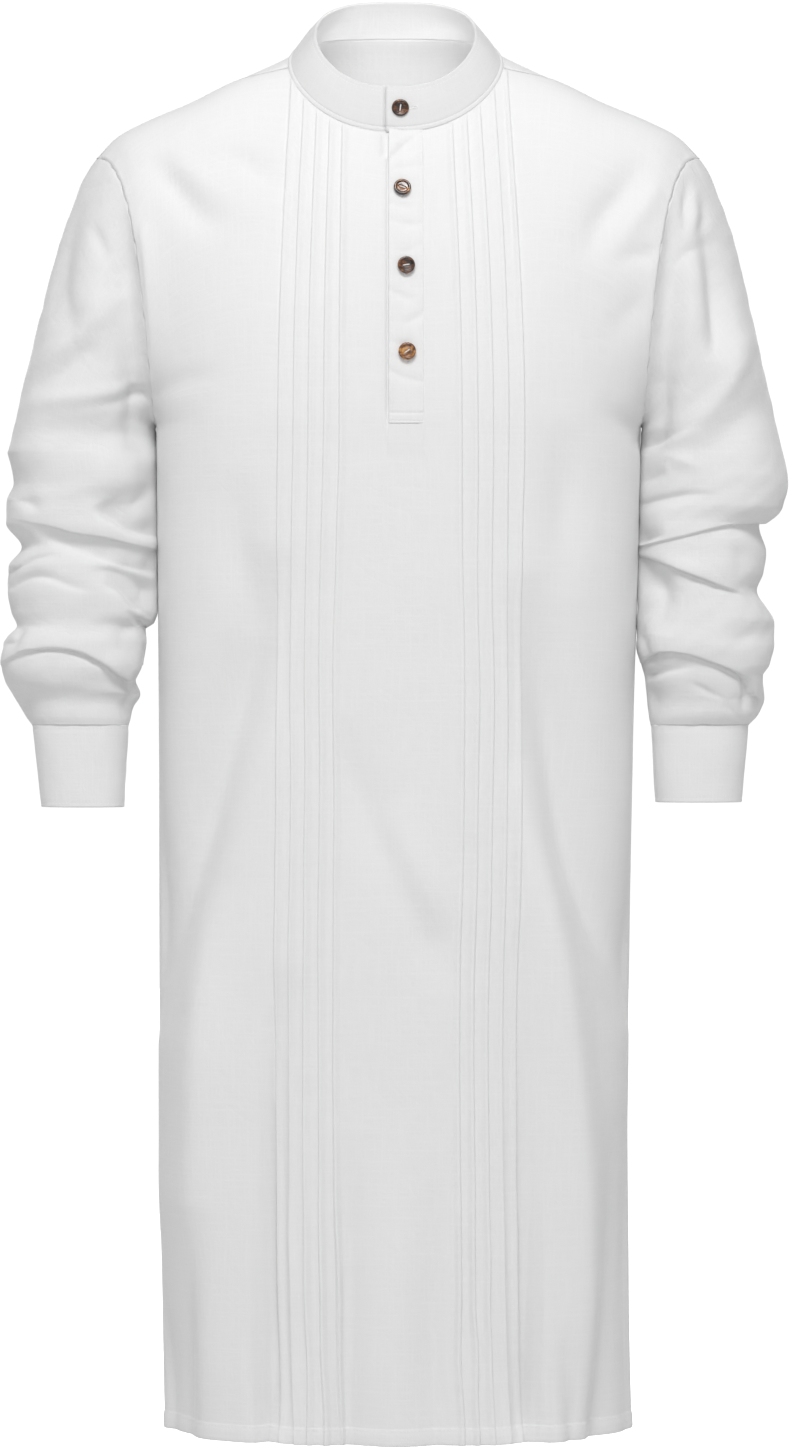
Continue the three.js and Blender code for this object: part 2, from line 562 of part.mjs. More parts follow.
// ---------------------------------------------------------------- placket
// A strip that lies on the front panel, from one height to another, between two distances from it.
function frontStrip({ middle, wide, low, high, near, far }) {
  const columns = steps(4, (t) => ({ at: () => middle + (t - 0.5) * wide }));
  const heights = [low, ...PANEL_HEIGHTS.filter((h) => h > low + 0.02 && h < high - 0.02), high];
  const base = heights.map((h) => columns.map((c) => bodyPoint(c, h, true)));
  const normals = gridNormals(base, false, () => [0, -1, 0.3]);
  const sunk = shifted(base, normals, (i, j) => -foldDepth(FRONT_FOLDS, base[i][j][0], base[i][j][2]));
  return wall(
    shifted(sunk, normals, () => far),
    shifted(sunk, normals, () => near),
  );
}

const placketOver = () =>
  frontStrip({
    middle: PLACKET.middle,
    wide: PLACKET.wide,
    low: PLACKET.foot,
    high: PLACKET.head,
    near: PLACKET.above,
    far: PLACKET.above + CLOTH,
  });
const placketUnder = () =>
  frontStrip({
    middle: PLACKET.middle,
    wide: UNDER_PLACKET.wide,
    low: heightOf(UNDER_PLACKET.footZ),
    high: PLACKET.head,
    near: -UNDER_PLACKET.beneath - 2 * CLOTH,
    far: -UNDER_PLACKET.beneath - CLOTH,
  });

// ---------------------------------------------------------------- collar
// The collar runs once round and overlaps at the front, with the buttonhole end outside.
const COLLAR_STEPS = 44;
const COLLAR_ROWS = 3;
const UNDER_DEPTH = BAND + GAP;

function collarPoint(turn, up, sink) {
  const low = ringPoint(COLLAR.base, turn);
  const outward = neckOutward(low);
  const radial = unit([outward[0], outward[1], 0]);
  const lift = unit(cross(cross(radial, [0, 0, 1]), outward));
  const rise = lift[2] > 0 ? lift : lift.map((v) => -v);
  const start = add(low, rise, GAP + 0.3);
  const top = ringPoint(COLLAR.top, turn);
  const swell = Math.sin(Math.PI * up) * 1.2;
  return add(add(blend(start, top, up), radial, swell), radial, -sink);
}

function collar() {
  const startTurn = turnAt(COLLAR.underEnd);
  const endTurn = turnAt(COLLAR.overEnd) - 2 * Math.PI;
  const turns = steps(COLLAR_STEPS, (t) => lerp(startTurn, endTurn, t));
  const sinkAt = (turn) => {
    const past = turnAt(COLLAR.overEnd) - 0.06 - turn;
    return UNDER_DEPTH * (1 - smooth(past / 0.35));
  };
  const grid = steps(COLLAR_ROWS, (up) => turns.map((turn) => collarPoint(turn, up, sinkAt(turn))));
  const outward = (i, j) => [Math.sin(turns[j]), -Math.cos(turns[j]), 0.3];
  const normals = gridNormals(grid, false, outward).map((line, i) =>
    line.map((normal, j) => (i > 0 ? normal : neckOutward(ringPoint(COLLAR.base, turns[j])))),
  );
  return wall(
    grid,
    shifted(grid, normals, () => -BAND),
  );
}

// ---------------------------------------------------------------- sleeves and cuffs
const AROUND = 2 * UPPER_ROWS;
const SLEEVE_POWER = 2.15;

// A point of a level ring. angle is 0 at the outer side and a quarter turn at the front.
function levelRing(side, row, angle) {
  const round = (v) => Math.sign(v) * Math.abs(v) ** (2 / SLEEVE_POWER);
  const middle = (row.outer + row.inner) / 2;
  const wide = (row.outer - row.inner) / 2;
  const deepMiddle = (row.front + row.back) / 2;
  const deep = (row.back - row.front) / 2;
  return [
    side * (middle + wide * round(Math.cos(angle))),
    deepMiddle - deep * round(Math.sin(angle)),
    row.z,
  ];
}

function sleeveRow(rows, z) {
  const row = { z };
  for (const column of ["outer", "inner", "front", "back"]) row[column] = fromTable(rows, "z", z, column);
  return row;
}

// The armhole's loop, starting at the shoulder and going round by the front, moved off the panels.
function armholePoint(side, turn) {
  const front = turn <= 0.5;
  const t = front ? 1 - 2 * turn : 2 * turn - 1;
  const p = bodyPoint({ side, out: 1 }, 1 + t, front);
  const calm = turn === 0 || turn === 0.5 ? 0 : 1;
  const meet = [p[0], calm ? p[1] : (bodyPoint({ side, out: 1 }, 1 + t, !front)[1] + p[1]) / 2, p[2]];
  return add(meet, [SLEEVE_AXIS[0] * side, 0, SLEEVE_AXIS[2]], GAP + 0.1);
}

const CAP_ROWS = 9;
const HANGING_ROWS = 26;
const HALF_SLEEVE = 60; // what one unit of across is worth in the tables of sleeve folds

function sleevePoint(side, key, turn, along) {
  const rows = SLEEVES[key];
  const angle = turn * 2 * Math.PI;
  if (along > 1) return levelRing(side, sleeveRow(rows, lerp(SLEEVE_START, SLEEVE_END, along - 1)), angle);
  const from = armholePoint(side, turn);
  const to = levelRing(side, sleeveRow(rows, SLEEVE_START), angle);
  const far = Math.hypot(...minus(to, from));
  const outside = (1 + Math.cos(angle)) / 2; // 1 at the outer side, which leans out; 0 next to the body
  const start = [lerp(0.85, 0.6, outside) * side, 0, lerp(-0.5, -0.8, outside)];
  const end = [0.25 * outside * side, 0, -1];
  return bezier([from, add(from, start, far * 0.2), add(to, end, -far * 0.38), to], along);
}

function sleeve(side, key) {
  const alongs = [...steps(CAP_ROWS, (t) => t), ...steps(HANGING_ROWS, (t) => 1 + t).slice(1)];
  const turns = steps(AROUND, (t) => t).slice(0, AROUND);
  const base = alongs.map((along) => turns.map((turn) => sleevePoint(side, key, turn, along)));
  const centres = base.map((ring) => ring.reduce((sum, p) => add(sum, p, 1 / AROUND), [0, 0, 0]));
  const outward = (i, j) => minus(base[i][j], centres[i]);
  const flat = gridNormals(base, true, outward);
  const depth = (i, j) => {
    const front = turns[j] < 0.5;
    const across = -Math.cos(turns[j] * 2 * Math.PI);
    const folds = SLEEVE_FOLDS[key]
      .filter((fold) => (fold.face === "front") === front)
      .map((fold) => ({ ...fold, x1: fold.across1 * HALF_SLEEVE, x2: fold.across2 * HALF_SLEEVE }));
    const facing = smooth(Math.abs(Math.sin(turns[j] * 2 * Math.PI)) * 1.6);
    const ends = smooth(alongs[i] * 1.5) * smooth((2 - alongs[i]) * 12);
    return foldDepth(folds, across * HALF_SLEEVE, base[i][j][2]) * facing * ends;
  };
  const sunk = shifted(base, flat, (i, j) => -depth(i, j));
  const shared = (j) => {
    const front = turns[j] <= 0.5;
    return armholeOutward(side, front, front ? 1 - 2 * turns[j] : 2 * turns[j] - 1);
  };
  const normals = gridNormals(sunk, true, outward).map((line, i) =>
    line.map((normal, j) => (i > 0 ? normal : blendNormal(normal, shared(j)))),
  );
  return wall(
    sunk,
    shifted(sunk, normals, () => -CLOTH),
    { wraps: true },
  );
}

function cuff(side, key) {
  const { top, low } = CUFFS[key];
  const ring = (t) => {
    const row = {};
    for (const column of ["z", "outer", "inner", "front", "back"])
      row[column] = lerp(top[column], low[column], t);
    return steps(AROUND, (turn) => levelRing(side, row, turn * 2 * Math.PI)).slice(0, AROUND);
  };
  const grid = steps(2, ring);
  const centre = [(side * (top.outer + top.inner)) / 2, (top.front + top.back) / 2, 0];
  const outward = (i, j) => {
    const away = minus(grid[i][j], centre);
    return [away[0], away[1], 0];
  };
  const normals = gridNormals(grid, true, outward).map((line) =>
    line.map((normal) => unit([normal[0], normal[1], 0])),
  );
  return wall(
    grid,
    shifted(grid, normals, () => -BAND),
    { wraps: true },
  );
}

// ---------------------------------------------------------------- buttons
// A round dished button, its back on the plane z = 0 before it is laid on the cloth.
function buttonGeometry() {
  const r = BUTTON.across / 2;
  const profile = [
    [0, 0],
    [r - 1, 0],
    [r, 1],
    [r, BUTTON.thick - 0.6],
    [r - 0.8, BUTTON.thick],
    [r - BUTTON.rim, BUTTON.thick - 0.2],
    [r - BUTTON.rim - 1.4, BUTTON.thick - BUTTON.dish],
    [0, BUTTON.thick - BUTTON.dish],
  ];
  const lathe = new THREE.LatheGeometry(
    profile.map(([x, y]) => new THREE.Vector2(x, y)),
    16,
  );
  return lathe.rotateX(Math.PI / 2);
}

// A place on the cloth beneath a button: a point and the direction out of the cloth.
function buttonSeat({ x, z, on }) {
  if (on === "collar") {
    const turn = turnAt(x);
    const low = ringPoint(COLLAR.base, turn)[2];
    const up = clamp01((z - low) / (ringPoint(COLLAR.top, turn)[2] - low));
    const here = collarPoint(turn, up, 0);
    const along = minus(collarPoint(turn + 0.05, up, 0), collarPoint(turn - 0.05, up, 0));
    const rise = minus(collarPoint(turn, up + 0.1, 0), collarPoint(turn, up - 0.1, 0));
    const out = unit(cross(along, rise));
    return { here, out: out[1] < 0 ? out : out.map((v) => -v), clear: BUTTON.offCollar };
  }
  const column = { at: () => x };
  let low = 1;
  let high = 2;
  for (let k = 0; k < 40; k++) {
    const middle = (low + high) / 2;
    if (bodyPoint(column, middle, true)[2] < z) low = middle;
    else high = middle;
  }
  const here = bodyPoint(column, low, true);
  const beside = bodyPoint({ at: () => x + 5 }, low, true);
  const above = bodyPoint(column, low + 0.01, true);
  const out = unit(cross(minus(beside, here), minus(above, here)));
  const clear = PLACKET.above + CLOTH + BUTTON.offPlacket;
  return { here, out: out[1] < 0 ? out : out.map((v) => -v), clear };
}

// ---------------------------------------------------------------- materials and the whole shirt
const cotton = new THREE.MeshStandardMaterial({ name: "cotton", color: 0xf2f2f1, roughness: 0.9 });
const horn = new THREE.MeshStandardMaterial({ name: "horn", color: 0x5a341a, roughness: 0.3 });

const shirt = new THREE.Group();
shirt.name = "kaftan_shirt";

function place(name, geometry, material) {
  const mesh = new THREE.Mesh(geometry, material);
  mesh.name = name;
  shirt.add(mesh);
  return mesh;
}

place("front_panel", frontPanel(), cotton);
place("back_panel", backPanel(), cotton);
place("placket_over", placketOver(), cotton);
place("placket_under", placketUnder(), cotton);
place("collar", collar(), cotton);
for (const [side, key] of [
  [1, "left"],
  [-1, "right"],
]) {
  place(`sleeve_${key}`, sleeve(side, key), cotton);
  place(`cuff_${key}`, cuff(side, key), cotton);
}
for (const spot of BUTTON_PLACES) {
  const { here, out, clear } = buttonSeat(spot);
  const button = place(spot.name, buttonGeometry(), horn);
  button.quaternion.setFromUnitVectors(new THREE.Vector3(0, 0, 1), new THREE.Vector3(...out));
  button.position.set(...add(here, out, clear));
}

export default shirt;
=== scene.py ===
# %% [markdown]
# # A long kaftan shirt, filled out as worn
#
# The shirt is a man's white tunic with a stand collar, a half placket closed by four horn buttons, five
# pintucks down each side of the front, and long sleeves pushed up into creases above plain cuffs. Nobody is
# in it, so each piece is a thin wall of cloth round empty space, open at the neck, the hem and the cuffs.
#
# The lesson builds one piece after another. Every surface is worked out with numpy, as a function of two
# parameters on a grid, and the grid is handed to Blender as a mesh. Lengths in the tables are millimetres,
# as on a paper pattern, and become metres when a mesh is made.

import bpy
import numpy as np
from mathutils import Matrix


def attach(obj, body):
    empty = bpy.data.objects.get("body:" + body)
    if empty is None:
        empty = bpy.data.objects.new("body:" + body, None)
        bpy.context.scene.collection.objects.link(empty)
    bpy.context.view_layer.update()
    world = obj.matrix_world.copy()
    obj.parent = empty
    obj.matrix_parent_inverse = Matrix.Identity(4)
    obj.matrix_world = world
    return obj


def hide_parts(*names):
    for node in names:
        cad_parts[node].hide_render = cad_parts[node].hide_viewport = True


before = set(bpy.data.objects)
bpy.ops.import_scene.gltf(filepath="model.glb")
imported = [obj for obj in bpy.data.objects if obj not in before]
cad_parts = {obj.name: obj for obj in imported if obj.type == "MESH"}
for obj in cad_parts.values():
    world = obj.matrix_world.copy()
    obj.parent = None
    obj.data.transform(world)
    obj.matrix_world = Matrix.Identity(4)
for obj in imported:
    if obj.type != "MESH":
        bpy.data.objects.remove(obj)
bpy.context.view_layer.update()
MM = 0.001

# %% [markdown]
# ## The camera
#
# The camera stands level, 4.5 m in front of the shirt and halfway down it. A long lens from far away keeps
# the shirt's sides nearly parallel, as in catalogue pictures. The lens follows from what the frame has to
# hold: sensor height over frame height equals focal length over distance.

# %% Camera
CAMERA_DISTANCE = 4.5
FRAME_HEIGHT = 1.2027
SENSOR_HEIGHT = 24.0

camera_data = bpy.data.cameras.new("camera")
camera_data.sensor_fit = "VERTICAL"
camera_data.sensor_height = SENSOR_HEIGHT
camera_data.lens = SENSOR_HEIGHT * CAMERA_DISTANCE / FRAME_HEIGHT
camera = bpy.data.objects.new("camera", camera_data)
camera.location = (-0.0025, -CAMERA_DISTANCE, -0.547)
camera.rotation_euler = (np.pi / 2, 0, 0)
bpy.context.scene.collection.objects.link(camera)
bpy.context.scene.camera = camera
print("lens", round(camera_data.lens, 1), "mm")

# %% [markdown]
# ## Helpers for tables, curves and grids
#
# A tailor notes widths at a few heights and draws a smooth line through them. `along` does the same: it is
# a monotone cubic through a table's rows, which never swings past the noted values. `bezier` bends a line
# between two ends by two handles. Both work on whole arrays at once, which is much faster than a loop.


# %% Tables and curves
def table(names, rows):
    """Rows of numbers as a dictionary of columns."""
    values = np.array(rows, float)
    return {name: values[:, k] for k, name in enumerate(names.split())}


def along(rows, key, column, at):
    """Monotone cubic: between two rows the value follows the Hermite curve whose slope at each row is the
    harmonic mean of the slopes beside it, and zero at a peak."""
    x, v = rows[key], rows[column]
    if x[1] < x[0]:
        x, v = x[::-1], v[::-1]
    at = np.clip(at, x[0], x[-1])
    slope = np.diff(v) / np.diff(x)
    product = slope[:-1] * slope[1:]
    total = slope[:-1] + slope[1:]
    inner = np.where(product > 0, 2 * product / np.where(product > 0, total, 1), 0)
    tangent = np.concatenate([slope[:1], inner, slope[-1:]])
    k = np.clip(np.searchsorted(x, at, side="right") - 1, 0, len(x) - 2)
    step = x[k + 1] - x[k]
    t = (at - x[k]) / step
    return (
        (1 + 2 * t) * (1 - t) ** 2 * v[k]
        + t * (1 - t) ** 2 * step * tangent[k]
        + t * t * (3 - 2 * t) * v[k + 1]
        + t * t * (t - 1) * step * tangent[k + 1]
    )


def mix(a, b, t):
    """a at t = 0, b at t = 1, in a straight line between."""
    return a + (b - a) * t


def smooth(t):
    """An S-curve: 3t^2 - 2t^3, held at 0 below 0 and at 1 above 1."""
    t = np.clip(t, 0, 1)
    return t * t * (3 - 2 * t)


def unit(vectors):
    """Vectors scaled to length one."""
    return vectors / np.maximum(np.linalg.norm(vectors, axis=-1, keepdims=True), 1e-12)


def bezier(points, t):
    """The cubic (1-t)^3 a + 3(1-t)^2 t b + 3(1-t) t^2 c + t^3 d."""
    a, b, c, d = points
    s = 1 - t
    return s**3 * a + 3 * s * s * t * b + 3 * s * t * t * c + t**3 * d


def signed_power(value, power):
    """The power of the size with the sign kept, for the squared-off circles that cloth rings follow."""
    return np.sign(value) * np.abs(value) ** power


# %% [markdown]
# ## From a grid of points to a mesh
#
# Each piece is a grid of points with rows and columns. `grid_normals` takes the cross product of the grid's
# two directions, and the sign that points away from a chosen middle. `cloth_mesh` turns the grid into
# quads, adds a UV map whose unit is one metre of cloth, so that the weave later follows the fabric, and the
# wall is then given its thickness by a Solidify modifier that grows inwards.


# %% Grids and meshes
def grid_normals(grid, outward, wraps=False):
    """Unit normals of a grid: the cross product of the steps along its rows and its columns."""
    if wraps:
        across = np.roll(grid, -1, axis=1) - np.roll(grid, 1, axis=1)
    else:
        across = np.gradient(grid, axis=1)
    up = np.gradient(grid, axis=0)
    normals = unit(np.cross(up, across))
    flip = np.sum(normals * outward, axis=-1, keepdims=True) < 0
    return np.where(flip, -normals, normals)


def cloth_lengths(grid, wraps=False):
    """Distances along the cloth: u grows along the middle row and v along each column, in millimetres."""
    step_u = np.linalg.norm(np.diff(grid, axis=1), axis=-1).mean(axis=0)
    step_v = np.linalg.norm(np.diff(grid, axis=0), axis=-1).mean(axis=1)
    u = np.concatenate([[0], np.cumsum(step_u)])
    v = np.concatenate([[0], np.cumsum(step_v)])
    if wraps:
        closing = np.linalg.norm(grid[:, 0] - grid[:, -1], axis=-1).mean()
        u = np.append(u, u[-1] + closing)
    return u, v


def finish_mesh(name, points, quads, uvs=None, triangles=()):
    """A smooth-shaded object at the origin from points in millimetres, its quads and, after them, its
    triangles."""
    mesh = bpy.data.meshes.new(name)
    faces = np.asarray(quads).tolist() + np.asarray(triangles).tolist()
    mesh.from_pydata((np.asarray(points) * MM).tolist(), [], faces)
    if uvs is not None:
        layer = mesh.uv_layers.new(name="cloth")
        layer.data.foreach_set("uv", (np.asarray(uvs) * MM).ravel())
    mesh.polygons.foreach_set("use_smooth", np.ones(len(mesh.polygons), bool))
    mesh.update()
    piece = bpy.data.objects.new(name, mesh)
    bpy.context.scene.collection.objects.link(piece)
    return piece


def grid_faces(rows, columns, wraps=False):
    """Corner numbers of the quads of a grid, and each corner's row and column."""
    cells = columns if wraps else columns - 1
    i, j = np.meshgrid(np.arange(rows - 1), np.arange(cells), indexing="ij")
    corner_rows = np.stack([i, i, i + 1, i + 1], axis=-1).reshape(-1, 4)
    corner_columns = np.stack([j, j + 1, j + 1, j], axis=-1).reshape(-1, 4)
    return corner_rows * columns + corner_columns % columns, corner_rows, corner_columns


def cloth_mesh(name, grid, normals, wraps=False, keep=None):
    """A sheet of cloth from a grid, its faces turned the way the normals point."""
    rows, columns = grid.shape[:2]
    faces, corner_rows, corner_columns = grid_faces(rows, columns, wraps)
    if keep is not None:
        faces, corner_rows, corner_columns = (a[keep.ravel()] for a in (faces, corner_rows, corner_columns))
    flat, flat_normals = grid.reshape(-1, 3), normals.reshape(-1, 3)
    a, b, c = (flat[faces[:, k]] for k in (0, 1, 3))
    facing = np.sum(np.cross(b - a, c - a) * flat_normals[faces[:, 0]], axis=1)
    if np.sum(facing) < 0:
        faces, corner_rows, corner_columns = (x[:, ::-1] for x in (faces, corner_rows, corner_columns))
    u, v = cloth_lengths(grid, wraps)
    uvs = np.stack([u[corner_columns], v[corner_rows]], axis=-1).reshape(-1, 2)
    return finish_mesh(name, flat, faces, uvs)


def thicken(piece, thickness):
    """A cloth wall of that thickness in millimetres, grown inwards from the sheet."""
    wall = piece.modifiers.new("cloth wall", "SOLIDIFY")
    wall.thickness = thickness * MM
    wall.offset = -1
    return piece


# %% [markdown]
# ## Folds
#
# A crease in cloth is a long shallow trough, often steeper on one side, and a roll is the same thing
# raised. A table is the clearest way to place them one by one: each row is a line of points, with a depth at
# each and a width for either side of the line. Where a roll hangs over the cloth below it, a trough is not
# enough, and `overlaps` slides the cloth past itself. A cloth simulation could fold the shirt too, but it
# would fold it its own way. Here each crease has to lie where a mannequin's shirt really creases.


# %% Folds
def flowing(points):
    """A smooth line through table points (x, z, depth): a Catmull-Rom curve, eight steps between two
    points."""
    rows = np.array(points, float)
    rows = np.concatenate([[2 * rows[0] - rows[1]], rows, [2 * rows[-1] - rows[-2]]])
    t = np.linspace(0, 1, 8, endpoint=False)[None, :, None]
    a, b, c, d = (rows[k : len(rows) - 3 + k, None] for k in range(4))
    curve = 0.5 * (2 * b + (c - a) * t + (2 * a - 5 * b + 4 * c - d) * t**2 + (3 * b - a - 3 * c + d) * t**3)
    return np.concatenate([curve.reshape(-1, 3), rows[-2:-1]])


def nearest_on(path, x, z):
    """For each point: its distance to the path, positive on the path's left, the depth there, and the
    direction from left to right across the path."""
    start, run = path[:-1], np.diff(path, axis=0)
    away_x, away_z = x[:, None] - start[None, :, 0], z[:, None] - start[None, :, 1]
    square = run[:, 0] ** 2 + run[:, 1] ** 2
    t = np.clip((away_x * run[:, 0] + away_z * run[:, 1]) / square, 0, 1)
    gap = np.hypot(away_x - t * run[:, 0], away_z - t * run[:, 1])
    k = np.argmin(gap, axis=1)
    pick = np.arange(len(x))
    turned = run[k, 0] * away_z[pick, k] - run[k, 1] * away_x[pick, k]
    across = np.stack([run[k, 1], -run[k, 0]], axis=-1) / np.sqrt(square[k])[:, None]
    return gap[pick, k] * np.where(turned > 0, 1, -1), start[k, 2] + t[pick, k] * run[k, 2], across


def close_to(path, x, z, reach):
    """Which points lie in the box round a path, grown by reach. Only those need the exact distance."""
    return (
        (x > path[:, 0].min() - reach)
        & (x < path[:, 0].max() + reach)
        & (z > path[:, 1].min() - reach)
        & (z < path[:, 1].max() + reach)
    )


def fold_depth(folds, x, z):
    """Sum of troughs, each depth * exp(-|d / wide|^1.7), where d is the distance to its line. Every
    trough has one width on its left and another on its right, so that a flank can be steep. Negative
    depths are ridges."""
    x, z = np.broadcast_arrays(x, z)
    total = np.zeros(x.shape)
    for points, left, right in folds:
        path = flowing(points)
        near = close_to(path, x, z, 2.6 * max(left, right))
        gap, depth, _ = nearest_on(path, x[near], z[near])
        total[near] += depth * np.exp(-np.abs(gap / np.where(gap > 0, left, right)) ** 1.7)
    return total


def overlaps(lips, x, z):
    """Where cloth hangs over the cloth below: it swells on the left of the line, over `reach`, and drops
    within 1.4 mm on the right. The swollen edge also slides over the drop, which makes a real
    overhang."""
    x, z = np.broadcast_arrays(x, z)
    swell, slide = np.zeros(x.shape), np.zeros(x.shape + (2,))
    for points, reach in lips:
        path = flowing(points)
        near = close_to(path, x, z, 2.6 * reach)
        gap, height, across = nearest_on(path, x[near], z[near])
        drop = 1 - smooth(-gap / 1.4)
        swell[near] += 0.8 * height * np.where(gap > 0, np.exp(-((gap / reach) ** 2)), drop)
        slide[near] += (0.3 * height * np.where(gap > 0, np.exp(-((gap / 5) ** 2)), drop))[:, None] * across
    return swell, slide


def ripples(along_seam, count, seed):
    """Uneven puckers of height -1 to 1: three sines whose wave numbers are near count, with seeded
    phases."""
    phases = np.random.default_rng(seed).uniform(0, 2 * np.pi, 3)
    waves = [np.sin(2 * np.pi * count * k * along_seam + p) for k, p in zip((0.61, 1.0, 1.47), phases)]
    return (0.5 * waves[0] + 0.7 * waves[1] + 0.4 * waves[2]) / 1.3


def drift(x, z, size, seed):
    """Slow unevenness between about -1 and 1: six seeded sine waves in different directions, about size
    long."""
    chance = np.random.default_rng(seed)
    total = np.zeros(np.broadcast(x, z).shape)
    for _ in range(6):
        angle = chance.uniform(0, np.pi)
        phase = chance.uniform(0, 2 * np.pi)
        stretch = chance.uniform(0.7, 1.6)
        total += np.sin(2 * np.pi * (x * np.cos(angle) + z * np.sin(angle)) / (size * stretch) + phase)
    return total / 3


# %% [markdown]
# ## The body's surface
#
# The front and the back meet at side seams and shoulder seams. Below the armpits a level cut through the
# body is a squared-off oval, whose half widths and half depths are in the table `BODY`. Above the armpits
# each vertical line of the cloth is a Bezier curve, from the armpit level up to the neckline or the
# shoulder seam. A body could be sculpted instead, but with a formula the collar, the placket and the
# sleeves can all be worked out from the same seams.

# %% Sizes of the body
CLOTH = 1.2
HEM_Z, HEM_SEAM, ARMPIT_Z = -1130.0, 12.0, -300.0
SHOULDER_X = 250.0
SECTION_POWER = 2.35
SIDE_START, NECK_SPREAD, NECK_TURN = 110.0, 90.0, 1.5
PLACKET_MIDDLE = 6.5

BODY = table(
    "z right left front back",
    [
        [-1130, 193.5, 193.5, 121, 108],
        [-1000, 196, 191.5, 119, 105],
        [-860, 197.5, 190.5, 118, 103],
        [-700, 198, 192.5, 119, 102],
        [-540, 198.5, 195.5, 121, 103],
        [-420, 199.5, 199, 124, 106],
        [-300, 200.5, 201.5, 126, 110],
    ],
)
SHOULDER_SEAM = table(
    "x y z",
    [[86, -9, 0], [131, -9, -13.5], [170, -8, -32], [207, -6, -47], [232, -5, -60], [250, -4, -78]],
)
COLLAR_CENTRE = -2.0
COLLAR_BASE = dict(wide=88, front=-66, back=58, level=1, tilt=-46, dip=-17, power=2.2)
COLLAR_TOP = dict(wide=67, front=-60, back=46, level=27, tilt=-41.5, dip=-9.5, power=2.5)
RISE = {
    "front": np.array([[0, 2, 112], [3, -92, 0]], float),
    "back": np.array([[0, 2, 165], [3, 88, 0]], float),
}
NECK_HANDLE = {"front": (-106, -102), "back": (92, -10)}
SEAM_HANDLES = {
    "front": table(
        "out x y z",
        [[0, 0, -60, -40], [0.12, 0, -70, -29], [0.35, 0, -78, -17], [0.7, -10, -84, -6], [1, -43, -92, 0]],
    ),
    "back": table(
        "out x y z",
        [[0, 26, 112, 56], [0.12, 14, 110, 46], [0.35, 4, 102, 25], [0.7, -8, 94, 8], [1, -36, 88, 0]],
    ),
}
TUCK_LINES = table(
    "z right right_step left left_step",
    [
        [-1130, -71.5, 11.8, 75.5, 12.2],
        [-850, -75, 12.2, 71, 11.6],
        [-527, -73.7, 11.6, 75.7, 11.7],
        [-406, -73, 12.1, 74.5, 12.1],
        [-285, -70, 12.4, 75, 12.7],
        [-91, -66, 10.9, 68.5, 11.7],
        [0, -64, 10.6, 66, 11.4],
    ],
)

# Each fold is a line of points (x, z, depth), then its width on the left and on the right of the line, as one
# walks along it. x grows towards the wearer's left, also on the back.
FRONT_FOLDS = [
    ([(205, -78, 0), (185, -111, 6), (166, -137, 7), (151, -176, 0)], 13, 12),
    ([(216, -97, 0), (199, -127, -3.5), (175, -163, 0)], 9, 9),
    ([(215, -163, 3), (194, -164, 2.5), (171, -173, 0)], 6, 6),
    ([(209, -195, 0), (187, -212, 2.5), (168, -243, 0)], 11, 11),
    ([(-206, -78, 0), (-185, -103, 6), (-165, -129, 5), (-140, -147, 0)], 11, 11),
    ([(-145, -73, 0), (-126, -86, 4.5), (-107, -99, 4), (-87, -114, 0)], 9, 9),
    ([(-196, -73, 0), (-165, -101, -3), (-125, -128, -1)], 11, 11),
    ([(-230, -80, 1), (-232, -103, 3), (-234, -123, 1)], 5, 5),
    ([(-229, -138, -2), (-214, -147, -4), (-208, -170, -5), (-205, -211, -4), (-202, -261, 0)], 9, 9),
    ([(221, -163, -2), (217, -186, -3), (211, -220, -2), (206, -261, 0)], 8, 8),
    ([(-199, -275, 2), (-170, -266, 2), (-136, -261, 0)], 8, 8),
    ([(199, -313, 3), (180, -298, 2), (161, -281, 0)], 9, 9),
    ([(-102, -402, 0), (-124, -495, 16.7), (-155, -600, 21), (-176, -680, 16), (-190, -750, 8),
      (-194, -810, 0)], 22, 24),
    ([(-155, -674, 0), (-158, -820, -14.3), (-165, -984, -9.5), (-170, -1131, 0)], 22, 22),
    ([(-98, -738, 0), (-101, -851, 10), (-105, -1000, 19), (-108, -1090, 21), (-110, -1134, 14)], 17, 6),
    ([(-160, -940, 0), (-172, -1010, 10), (-180, -1080, 16), (-183, -1141, 12)], 14, 22),
    ([(-47, -539, 0), (-22, -624, 5.5), (20, -713, 3), (46, -770, 0)], 17, 17),
    ([(-10, -608, 0), (18, -673, -5.9), (34, -721, 0)], 18, 18),
    ([(-37, -875, 0), (-39, -1004, 7.1), (-42, -1132, 9.5)], 12, 12),
    ([(-5, -891, 0), (-2, -1012, -5.9), (-3, -1132, -7.1)], 16, 16),
    ([(26, -915, 0), (27, -1028, 5.9), (31, -1132, 7.1)], 12, 12),
    ([(105, -422, 0), (122, -527, 16.7), (141, -633, 23.8), (163, -700, 20), (183, -752, 9),
      (192, -800, 0)], 20, 20),
    ([(99, -576, 0), (123, -706, -11.9), (141, -836, -14.3), (156, -1016, -9.5), (161, -1137, 0)], 18, 18),
    ([(101, -705, 0), (103, -835, 8), (106, -964, 16), (110, -1090, 21), (113, -1134, 14)], 6, 17),
    ([(136, -1039, 0), (141, -1096, 7.1), (144, -1136, 9.5)], 6, 6),
    ([(178, -860, 0), (176, -969, 9), (172, -1060, 14), (170, -1141, 17)], 20, 14),
    ([(-132, -340, 0), (-128, -413, 5.9), (-120, -478, 0)], 15, 15),
    ([(132, -300, 0), (136, -365, 5.9), (132, -446, 0)], 15, 15),
]
